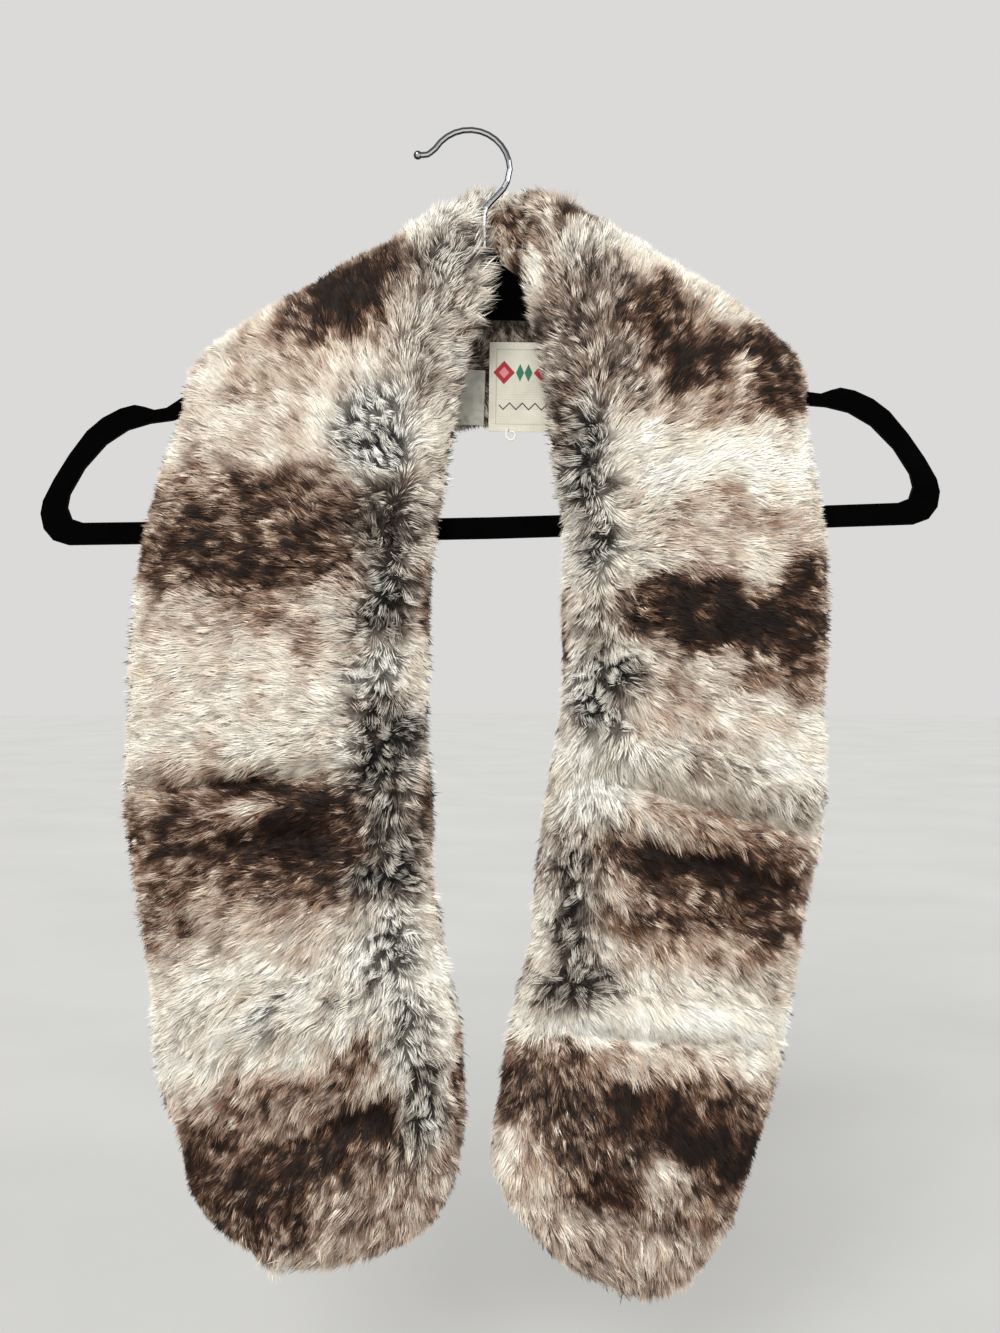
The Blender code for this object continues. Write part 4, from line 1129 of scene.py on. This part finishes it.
def material(name, surface, **choices):
    """A material with the shader that a function settles from these choices."""
    made = bpy.data.materials.new(name)
    made.use_nodes = True
    tree = made.node_tree
    tree.nodes.clear()
    shader = add(tree, "ShaderNodeBsdfPrincipled", surface(tree, **choices))
    add(tree, "ShaderNodeOutputMaterial", {"Surface": shader})
    return made


# Faux fur is dyed acrylic: each tone has the colour of its tip and of its root, for warm hair and for the
# cool, grey-rooted hair beside the parting. The root colours are partly the dye's darker roots and partly
# painted shade, which darkens the gaps between locks and the parting.
WARM_TIPS = ((0.0, "#150b05"), (0.14, "#28170e"), (0.30, "#513625"), (0.45, "#8a6b57"),
             (0.58, "#b8a08c"), (0.72, "#dccab6"), (0.86, "#f7eedb"), (1.0, "#fffef4"))
WARM_ROOTS_AND_SHADE = ((0.0, "#130905"), (0.20, "#22130b"), (0.40, "#3c2a20"), (0.58, "#735b4e"),
              (0.75, "#bdb1a3"), (1.0, "#ebe5d8"))
COOL_TIPS = ((0.0, "#221f1d"), (0.25, "#57514b"), (0.50, "#a09a8f"), (0.72, "#dcd8cc"),
             (1.0, "#fffdf5"))
COOL_ROOTS_AND_SHADE = ((0.0, "#060606"), (0.45, "#0a0a0a"), (0.75, "#131312"), (1.0, "#3e3d39"))


def hair_colour(tree, along):
    """The colour of a place on a hair, or of the hide under it, from what its root keeps."""
    tone, cool = (add(tree, KEPT, attribute_name=name).outputs["Fac"] for name in ("tone", "cool"))
    kinds = []
    # Root colours are partly the dye's and partly painted shade between the locks.
    for roots, tips in ((WARM_ROOTS_AND_SHADE, WARM_TIPS), (COOL_ROOTS_AND_SHADE, COOL_TIPS)):
        root, tip = (add(tree, RAMP, (tone,), stops=stops) for stops in (roots, tips))
        kinds.append(add(tree, MIX, {"Factor": along, "A": root, "B": tip}, data_type="RGBA"))
    warm, ashen = kinds
    return add(tree, MIX, {"Factor": cool, "A": warm, "B": ashen}, data_type="RGBA")


def pile_fibre(tree, start, full, held):
    """Cut acrylic pile: soft and half dull, dark at the root and pale at the tip. The dark root is partly
    dye and partly painted shade between the locks.

    The tip's colour starts to show at one share of the hair and is full at another, and cool hair is held
    back by a third, so that more of it keeps the dark root colour, partly painted shade, beside the
    parting.
    """
    along, cool = (add(tree, KEPT, attribute_name=name).outputs["Fac"] for name in ("along", "cool"))
    above = add(tree, NUMBERS, (cool, -held, along), operation="MULTIPLY_ADD")
    share = add(tree, RANGE, {"Value": above, "From Min": start, "From Max": full},
                interpolation_type="SMOOTHSTEP")
    facing = add(tree, KEPT, attribute_name="facing").outputs["Vector"]
    return {"Base Color": hair_colour(tree, share), "Roughness": 0.62, "IOR": 1.45,
            "Specular IOR Level": 0.22, "Sheen Weight": 0.08, "Sheen Roughness": 0.4, "Normal": facing}


def pile_ground(tree):
    """The knitted ground under the pile, in the hair's root colours, which shows as dark gaps between the
    locks: partly its dye, partly painted shade.

    Its loops are about 1 mm across, drawn at 4 mm because hair covers nearly all of them.
    """
    place = add(tree, "ShaderNodeTexCoord").outputs["Object"]
    loops = add(tree, NOISE, {"Vector": place, "Scale": 1.0 / (4.0 * MM), "Detail": 3.0})
    # The ground takes the root end of the hair's colours, partly painted shade between the locks.
    share = add(tree, RANGE, {"Value": loops, "From Min": 0.35, "From Max": 0.8, "To Max": 0.35})
    bump = add(tree, BUMP, {"Height": loops, "Strength": 0.5, "Distance": 0.8 * MM})
    return {"Base Color": hair_colour(tree, share), "Roughness": 0.9, "Specular IOR Level": 0.2,
            "Normal": bump}


def black_flock(tree):
    """Nylon flock over moulded plastic: dull velvet black with a faint pale fuzz at grazing angles.

    Flock is about 0.05 mm thick, drawn at 0.5 mm so that it shows.
    """
    place = add(tree, "ShaderNodeTexCoord").outputs["Object"]
    fuzz = add(tree, NOISE, {"Vector": place, "Scale": 1.0 / (0.5 * MM), "Detail": 2.0})
    wear = add(tree, NOISE, {"Vector": place, "Scale": 1.0 / (17.0 * MM), "Detail": 4.0})
    colour = add(tree, RAMP, (wear,), stops=((0.35, "#010101"), (0.75, "#030303")))
    bump = add(tree, BUMP, {"Height": fuzz, "Strength": 0.6, "Distance": 0.3 * MM})
    return {"Base Color": colour, "Roughness": 0.95, "Specular IOR Level": 0.02,
            "Sheen Weight": 0.012, "Sheen Roughness": 0.4, "Normal": bump}


# Painted reflection on chrome: its colour from where it faces the eye to where it turns away.
CHROME_PAINTED_REFLECTION = ((0.0, "#e2e3e5"), (0.06, "#b9bbbf"), (0.15, "#5a5c60"), (0.4, "#26272a"),
                (1.0, "#4e5054"))


def chrome_with_painted_reflection(tree):
    """Chrome plating on thin drawn steel wire, with a painted reflection: bright along its middle and dark
    towards its sides, by how it faces the eye.
    """
    place = add(tree, "ShaderNodeTexCoord").outputs["Object"]
    wear = add(tree, NOISE, {"Vector": place, "Scale": 1.0 / (6.0 * MM), "Detail": 3.0})
    dull = add(tree, RANGE, {"Value": wear, "To Min": 0.05, "To Max": 0.18})
    # Painted reflection: the colour follows how far the wire turns from the eye.
    turned = add(tree, "ShaderNodeLayerWeight", {"Blend": 0.5}).outputs["Facing"]
    colour = add(tree, RAMP, (turned,), stops=CHROME_PAINTED_REFLECTION)
    return {"Base Color": colour, "Metallic": 1.0, "Roughness": dull}


def weave(tree, place, thread):
    """The height of two sets of crossing threads of this width."""
    heights = []
    for direction in ("X", "Z"):
        wave = add(tree, "ShaderNodeTexWave", {
            "Vector": place, "Scale": 1.0 / (2.0 * math.pi * thread)}, bands_direction=direction)
        heights.append(wave.outputs["Fac"])
    return add(tree, NUMBERS, heights, operation="ADD")


def soiled(tree, place, low, high):
    """A cloth's colour, a little darker where it has been handled."""
    soil = add(tree, NOISE, {"Vector": place, "Scale": 1.0 / (11.0 * MM), "Detail": 4.0})
    return add(tree, RAMP, (soil,), stops=((0.3, low), (0.7, high)))


def plain_cloth(tree, low, high, thread, roughness, sheen, fold):
    """Woven polyester: two sets of fine threads, and soft folds where it has been handled.

    Real threads are about 0.15 mm wide, drawn at three times that so that they show.
    """
    place = add(tree, "ShaderNodeTexCoord").outputs["Object"]
    folds = add(tree, NOISE, {"Vector": place, "Scale": 1.0 / (7.0 * MM), "Detail": 1.0})
    bump = add(tree, BUMP, {"Height": folds, "Strength": 1.0, "Distance": fold})
    bump = add(tree, BUMP, {"Height": weave(tree, place, thread), "Strength": 0.35,
                            "Distance": 0.15 * MM, "Normal": bump})
    return {"Base Color": soiled(tree, place, low, high), "Roughness": roughness,
            "Sheen Weight": sheen, "Normal": bump}


def damask_label(tree, ground):
    """A damask-woven label: satin ground, a frame line, lozenges and a zigzag of bright thread."""
    place = add(tree, "ShaderNodeTexCoord").outputs["Object"]
    own = add(tree, "ShaderNodeMapping", {
        "Vector": place, "Location": (LABEL_CORNER.x * MM, 0.0, LABEL_CORNER.z * MM),
        "Rotation": (0.0, math.radians(-LABEL_CORNER.lean), 0.0), "Scale": (MM, MM, MM),
    }, vector_type="TEXTURE")
    axes = add(tree, "ShaderNodeSeparateXYZ", (own,)).outputs
    across, up = axes["X"], axes["Z"]

    # A line inside the edges, at one distance from the nearest of them.
    half_height = LABEL_CORNER.height / 2.0
    off_middle = add(tree, NUMBERS, (up, half_height), operation="SUBTRACT")
    distances = []
    for along, half in ((across, LABEL_CORNER.width / 2.0), (off_middle, half_height)):
        away = add(tree, NUMBERS, (along,), operation="ABSOLUTE")
        distances.append(add(tree, NUMBERS, (half, away), operation="SUBTRACT"))
    edge = add(tree, NUMBERS, distances, operation="MINIMUM")
    line = add(tree, NUMBERS, (edge, FRAME_LINE.inset, FRAME_LINE.half_width), operation="COMPARE")
    drawn = [(line, FRAME_LINE.colour)]

    # Lozenges: the shares of their half width and half height add up to less than one inside.
    for motif in LABEL_MOTIFS:
        shares = []
        for along, middle, half in ((across, motif.across, motif.half_width),
                                    (up, motif.rise, motif.half_height)):
            share = add(tree, NUMBERS, (along, 1.0 / half, -middle / half), operation="MULTIPLY_ADD")
            shares.append(add(tree, NUMBERS, (share,), operation="ABSOLUTE"))
        total = add(tree, NUMBERS, shares, operation="ADD")
        drawn.append((add(tree, NUMBERS, (total, 1.0), operation="LESS_THAN"), motif.colour))

    # A zigzag of one stitched line.
    teeth = add(tree, NUMBERS, (across, ZIGZAG.tooth), operation="PINGPONG")
    level = add(tree, NUMBERS, (up, teeth), operation="SUBTRACT")
    line = add(tree, NUMBERS, (level, ZIGZAG.rise, ZIGZAG.half_line), operation="COMPARE")
    near = add(tree, NUMBERS, (across, ZIGZAG.across, ZIGZAG.half_run), operation="COMPARE")
    drawn.append((add(tree, NUMBERS, (line, near), operation="MULTIPLY"), ZIGZAG.colour))

    # The label's colours are darker than its cloth, partly painted shade.
    colour = soiled(tree, place, "#c8c3b2", ground)
    for mask, thread in drawn:
        colour = add(tree, MIX, {"Factor": mask, "A": colour, "B": linear(thread)}, data_type="RGBA")
    bump = add(tree, BUMP, {"Height": weave(tree, place, LABEL_THREAD), "Strength": 0.4,
                            "Distance": 0.15 * MM})
    return {"Base Color": colour, "Roughness": 0.7, "Sheen Weight": 0.1, "Normal": bump}


def pale_floor(tree):
    """Painted board: matt and pale, with faint broad unevenness."""
    place = add(tree, "ShaderNodeTexCoord").outputs["Object"]
    mottle = add(tree, NOISE, {"Vector": place, "Scale": 3.0, "Detail": 5.0})
    colour = add(tree, RAMP, (mottle,), stops=((0.3, "#c3c3c1"), (0.7, "#cacac8")))
    return {"Base Color": colour, "Roughness": 0.9}


# ---- Pieces ----


def fitted(piece, slot, *nodes):
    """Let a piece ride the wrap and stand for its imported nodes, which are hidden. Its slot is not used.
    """
    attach(piece, BODY)
    if nodes:
        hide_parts(*nodes)


def redressed(node, look):
    """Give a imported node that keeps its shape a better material."""
    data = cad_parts[node].data
    data.materials.clear()
    data.materials.append(look)


def halves():
    """The left and the right half of the wrap."""
    return (
        Stretch(LEFT_FOLD, LEFT_LAPEL, LEFT_CREST, LEFT_CREASES, LEFT_COMB,
                LEFT_DYE_AND_SHADE_PATCHES + LEFT_PARTING, LEFT_BANDS),
        Stretch(RIGHT_FOLD, RIGHT_LAPEL, RIGHT_CREST, RIGHT_CREASES, RIGHT_COMB,
                RIGHT_PATCHES + RIGHT_PARTING, RIGHT_BANDS),
    )


def lapel_grid(stretch, side):
    """One half of a lapel, from its tip to just behind the fold."""
    at = rows_between(PILE_HEIGHT, stretch.seam_at() - SEAM)
    if side > 0:
        return grid_of(stretch, at, side, PARTING_AT, stretch.patches)
    return grid_of(stretch, at, side, BACK_PARTING_AT, None)


def neck_grid(side):
    """One half of the band behind the neck, from the left seam to the right one."""
    look = (PARTING_AT, None) if side > 0 else (NECK_PARTING_AT, NECK_PLUSH_AND_SHADE_PATCHES)
    grids = []
    for stretch in halves():
        at = rows_between(stretch.seam_at() + SEAM, stretch.middle_at)
        grids.append(grid_of(stretch, at, side, *look))
    return joined(*grids)


def grow(name, grid, tree, look, coats):
    """A hide and its coats of hair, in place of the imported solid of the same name."""
    hide = hide_object(name + "_hide", grid, look["ground"])
    hairs = []
    for coat in coats:
        shape = hair_shape("hair_shape", coat.rings)
        given = {**coat.given, "Hair shape": shape, "Material": look[coat.fibre]}
        hairs.append(grown(f"{name}_{coat.name}", hide, tree, given))
        bpy.data.objects.remove(shape, do_unlink=True)
    for piece in hairs:
        fitted(piece, "fur", name)
    fitted(hide, "fur", name)


def hem_line():
    """The line on the woven label's face that its hem is stitched along."""
    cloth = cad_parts["woven_label"]
    face = BVHTree.FromObject(cloth, bpy.context.evaluated_depsgraph_get())
    half = LABEL_CORNER.width / 2.0 - HEM_INSET
    top = LABEL_CORNER.height - HEM_INSET
    corners = [(-half, HEM_INSET), (-half, top), (half, top), (half, HEM_INSET), (-half, HEM_INSET)]
    lean = math.radians(LABEL_CORNER.lean)
    points = []
    for (x0, z0), (x1, z1) in zip(corners, corners[1:]):
        for share in np.linspace(0.0, 1.0, HEM_STEPS, endpoint=False):
            across, up = x0 + (x1 - x0) * share, z0 + (z1 - z0) * share
            x = (LABEL_CORNER.x + across * math.cos(lean) + up * math.sin(lean)) * MM
            z = (LABEL_CORNER.z - across * math.sin(lean) + up * math.cos(lean)) * MM
            found = face.ray_cast(Vector((x, IN_FRONT, z)), Vector((0.0, 1.0, 0.0)))[0]
            points.append((x, found.y, z))
    data = bpy.data.meshes.new("hem_line")
    data.from_pydata(points, [(i, (i + 1) % len(points)) for i in range(len(points))], [])
    return placed_in_scene("hem_line", data)


def sew_hem(look):
    """Stitches along the woven label's hem."""
    line = hem_line()
    sizes = {"Pitch": STITCH_PITCH, "Length": STITCH_LENGTH, "Radius": STITCH_RADIUS, "Material": look}
    data = with_modifier(line, stitch_tree(), sizes)
    data.name = "hem_stitches"
    bpy.data.objects.remove(line, do_unlink=True)
    fitted(placed_in_scene("hem_stitches", data), "thread")


# ---- Settings and operators ----


def number_field(name, description, default, **more):
    """A setting that is a number."""
    return bpy.props.FloatProperty(name=name, description=description, default=default, **more)


def colour_field(name, description, default):
    """A setting that is a colour."""
    return bpy.props.StringProperty(name=name, description=description + ", as sRGB hex",
                                    default=default)


class PileSettings(bpy.types.PropertyGroup):
    """Sizes of the hair and how closely it grows."""

    guard_length: number_field("Guard length", "Length of the long hair", 10.0 * MM, unit="LENGTH")
    guard_width: number_field("Guard width", "Width of a drawn long hair", 0.4 * MM, unit="LENGTH")
    under_length: number_field("Undercoat length", "Length of the short hair", 8.5 * MM, unit="LENGTH")
    under_width: number_field("Undercoat width", "Width of a drawn short hair", 0.5 * MM, unit="LENGTH")
    front_guard: number_field("Front guard hairs", "Long hairs per square centimetre in front", 116.0)
    front_under: number_field("Front undercoat hairs", "Short hairs per square centimetre in front", 185.0)
    hidden_guard: number_field("Back hairs", "Long hairs per square centimetre behind", 64.0)
    hidden_width: number_field("Back hair width", "Width of a drawn hair behind", 0.64 * MM, unit="LENGTH")
    locks: number_field("Locks", "Locks per square centimetre", 7.0)
    lock_pull: number_field("Lock pull", "How far tips gather into their lock", 0.75, subtype="FACTOR",
                            min=0.0, max=1.0)
    tone_spread: number_field("Tone spread", "How much neighbouring hairs differ in tone", 0.08)
    mottle: number_field("Mottle", "How strongly the dye is mottled", 1.5)


class FinishSettings(bpy.types.PropertyGroup):
    """Colours of the labels. The woven and the satin label are darker than their cloth, partly painted
    shade where they hang behind the lapels.
    """

    label_cream_and_shade: colour_field("Label", "Woven label's colour", "#d8d4c5")
    satin_and_shade: colour_field("Care label", "Satin label's colour", "#b6b3a8")
    thread_white: colour_field("Thread", "Thread's colour", "#ece9df")


class StageSettings(bpy.types.PropertyGroup):
    """Lights and floor."""

    key_strength: number_field("Key light", "Strength of the main light in front", 2.8)
    fill_strength: number_field("Fill light", "Strength of the light on the right", 0.97)
    sky_strength: number_field("Surroundings", "Brightness of the pale surroundings", 0.72)


def coat(pile, name, hairs, seed, rings=GUARD_HAIR, fibre="guard", **changes):
    """One coat for a hide, long hair unless it is changed."""
    given = {
        "Hairs per square metre": hairs * PER_SQUARE_METRE,
        "Locks per square metre": pile.locks * PER_SQUARE_METRE,
        "Length": pile.guard_length, "Width": pile.guard_width, "Lock pull": pile.lock_pull,
        "Tone spread": pile.tone_spread, "Mottle": pile.mottle, "Seed": seed,
    }
    return Coat(name, rings, fibre, {**given, **changes})


def undercoat(pile, hairs, seed):
    """The short hair between the long."""
    changes = {"Length": pile.under_length, "Width": pile.under_width,
               "Lock pull": UNDER_GATHERS * pile.lock_pull}
    return coat(pile, "undercoat", hairs, seed, UNDER_HAIR, "under", **changes)


def grow_all(jobs):
    """Grow every hide of the wrap from a list of name, grid, coats and flat size; the flat size is not
    used.
    """
    tree = pile_tree()
    look = {
        "ground": material("knitted ground of faux fur", pile_ground),
        "guard": material("acrylic guard pile", pile_fibre, start=0.04, full=0.44, held=0.30),
        # The undercoat keeps mostly its root colour, which is partly painted shade under the guard hair.
        "under": material("acrylic undercoat", pile_fibre, start=0.15, full=1.05, held=0.60),
    }
    for name, grid, coats, flat in jobs:
        grow(name, grid, tree, look, coats)


class FURWRAP_OT_lapels(bpy.types.Operator):
    """Grow the two lapels, front and back"""

    bl_idname = "fur_wrap.lapels"
    bl_label = "Lapels"

    def execute(self, context):
        pile = context.scene.fur_wrap_pile
        jobs = []
        for i, (name, stretch) in enumerate(zip(("left", "right"), halves())):
            under, guard, hidden = (seed + i for seed in LAPEL_SEEDS)
            front = [undercoat(pile, pile.front_under, under),
                     coat(pile, "guard_hair", pile.front_guard, guard)]
            back = [coat(pile, "guard_hair", pile.hidden_guard, hidden, Width=pile.hidden_width)]
            jobs.append((f"{name}_front_fur", lapel_grid(stretch, 1), front, LAPEL_CUT))
            jobs.append((f"{name}_back_fur", lapel_grid(stretch, -1), back, LAPEL_CUT))
        grow_all(jobs)
        return {"FINISHED"}


class FURWRAP_OT_neck(bpy.types.Operator):
    """Grow the band behind the neck, inside and outside"""

    bl_idname = "fur_wrap.neck"
    bl_label = "Neck band"

    def execute(self, context):
        pile = context.scene.fur_wrap_pile
        under, guard, plush = NECK_SEEDS
        outside = [undercoat(pile, pile.front_under, under),
                   coat(pile, "guard_hair", pile.front_guard, guard)]
        inside = [coat(pile, "plush", pile.front_guard, plush, Length=NECK_PLUSH_LENGTH)]
        grow_all([("neck_outer_fur", neck_grid(1), outside, NECK_CUT),
                  ("neck_inner_fur", neck_grid(-1), inside, NECK_CUT)])
        return {"FINISHED"}


class FURWRAP_OT_hanger(bpy.types.Operator):
    """Finish the hanger's flocked body and its chromed hook"""

    bl_idname = "fur_wrap.hanger"
    bl_label = "Hanger"

    def execute(self, context):
        redressed("hanger_body", material("black nylon flock", black_flock))
        redressed("hook", material("chrome plated wire", chrome_with_painted_reflection))
        return {"FINISHED"}


class FURWRAP_OT_labels(bpy.types.Operator):
    """Finish the two sewn labels and the thread loop"""

    bl_idname = "fur_wrap.labels"
    bl_label = "Labels"

    def execute(self, context):
        colours = context.scene.fur_wrap_finish
        redressed("woven_label",
                  material("damask woven label", damask_label, ground=colours.label_cream_and_shade))
        # The satin label's colours are partly painted shade from the left lapel.
        redressed("care_label", material(
            "polyester satin label", plain_cloth, low="#a19e94", high=colours.satin_and_shade,
            thread=0.45 * MM, roughness=0.45, sheen=0.3, fold=4.0 * MM))
        thread = material(
            "spun polyester thread", plain_cloth, low="#d9d5c9", high=colours.thread_white,
            thread=0.5 * MM, roughness=0.8, sheen=0.2, fold=0.1 * MM)
        redressed("thread_loop", thread)
        sew_hem(thread)
        return {"FINISHED"}


class FURWRAP_OT_stage(bpy.types.Operator):
    """Lay the floor, hang soft lights and set the camera"""

    bl_idname = "fur_wrap.stage"
    bl_label = "Stage"

    def execute(self, context):
        settings = context.scene.fur_wrap_stage
        lay_floor()
        soft_light("key light", KEY_FROM, settings.key_strength)
        soft_light("fill light", FILL_FROM, settings.fill_strength)
        surround(settings.sky_strength)
        aim_camera()
        context.scene.view_settings.view_transform = "Standard"
        return {"FINISHED"}


class FURWRAP_PT_panel(bpy.types.Panel):
    """Lists the steps and settings in the sidebar"""

    bl_idname = "FURWRAP_PT_panel"
    bl_label = "Fur Wrap"
    bl_space_type = "VIEW_3D"
    bl_region_type = "UI"
    bl_category = "Fur Wrap"

    def draw(self, context):
        for step in STEPS:
            self.layout.operator(step.bl_idname)
        for name, group in GROUPS.items():
            settings = getattr(context.scene, name)
            for field in group.__annotations__:
                self.layout.prop(settings, field)


def lay_floor():
    """A round pale floor under the wrap."""
    mesh = bmesh.new()
    bmesh.ops.create_circle(mesh, cap_ends=True, segments=FLOOR_CORNERS, radius=FLOOR_RADIUS)
    low = CAD_BOX[0][2] - FLOOR_GAP
    bmesh.ops.translate(mesh, vec=(0.0, 0.0, low), verts=mesh.verts)
    data = bpy.data.meshes.new("floor")
    mesh.to_mesh(data)
    mesh.free()
    data.materials.append(material("matt painted board", pale_floor))
    placed_in_scene("floor", data)


def soft_light(name, direction, strength):
    """An even, soft light from far away in this direction."""
    light = bpy.data.lights.new(name, "SUN")
    light.angle = LIGHT_WIDTH
    light.energy = strength
    made = placed_in_scene(name, light)
    made.rotation_mode = "QUATERNION"
    made.rotation_quaternion = Vector(direction).to_track_quat("Z", "Y")


def surround(strength):
    """Pale even surroundings."""
    world = bpy.data.worlds.new("pale surroundings")
    world.use_nodes = True
    background = world.node_tree.nodes["Background"]
    background.inputs["Color"].default_value = linear("#fdfcfa")
    background.inputs["Strength"].default_value = strength
    bpy.context.scene.world = world


def aim_camera():
    """A level camera in front of the wrap."""
    camera = bpy.data.cameras.new("camera")
    camera.sensor_width = 36.0
    camera.lens = camera.sensor_width * CAMERA_BACK / (FRAME_HEIGHT * FRAME_SCALE)
    made = placed_in_scene("camera", camera)
    made.location = (CAMERA_X, -CAMERA_BACK, CAMERA_Z)
    made.rotation_euler = (math.pi / 2.0, 0.0, 0.0)
    bpy.context.scene.camera = made


GROUPS = {"fur_wrap_pile": PileSettings, "fur_wrap_finish": FinishSettings,
          "fur_wrap_stage": StageSettings}
STEPS = (FURWRAP_OT_stage, FURWRAP_OT_hanger, FURWRAP_OT_labels, FURWRAP_OT_neck, FURWRAP_OT_lapels)


def register():
    """Add the classes and their settings to Blender."""
    for item in (*GROUPS.values(), *STEPS, FURWRAP_PT_panel):
        bpy.utils.register_class(item)
    for name, group in GROUPS.items():
        setattr(bpy.types.Scene, name, bpy.props.PointerProperty(type=group))


def unregister():
    """Take the classes and their settings out of Blender."""
    for name in GROUPS:
        delattr(bpy.types.Scene, name)
    for item in (FURWRAP_PT_panel, *reversed(STEPS), *reversed(GROUPS.values())):
        bpy.utils.unregister_class(item)


def main():
    """Make every piece in order."""
    register()
    for step in STEPS:
        group, _, name = step.bl_idname.partition(".")
        getattr(getattr(bpy.ops, group), name)()


if __name__ == "__main__":
    main()
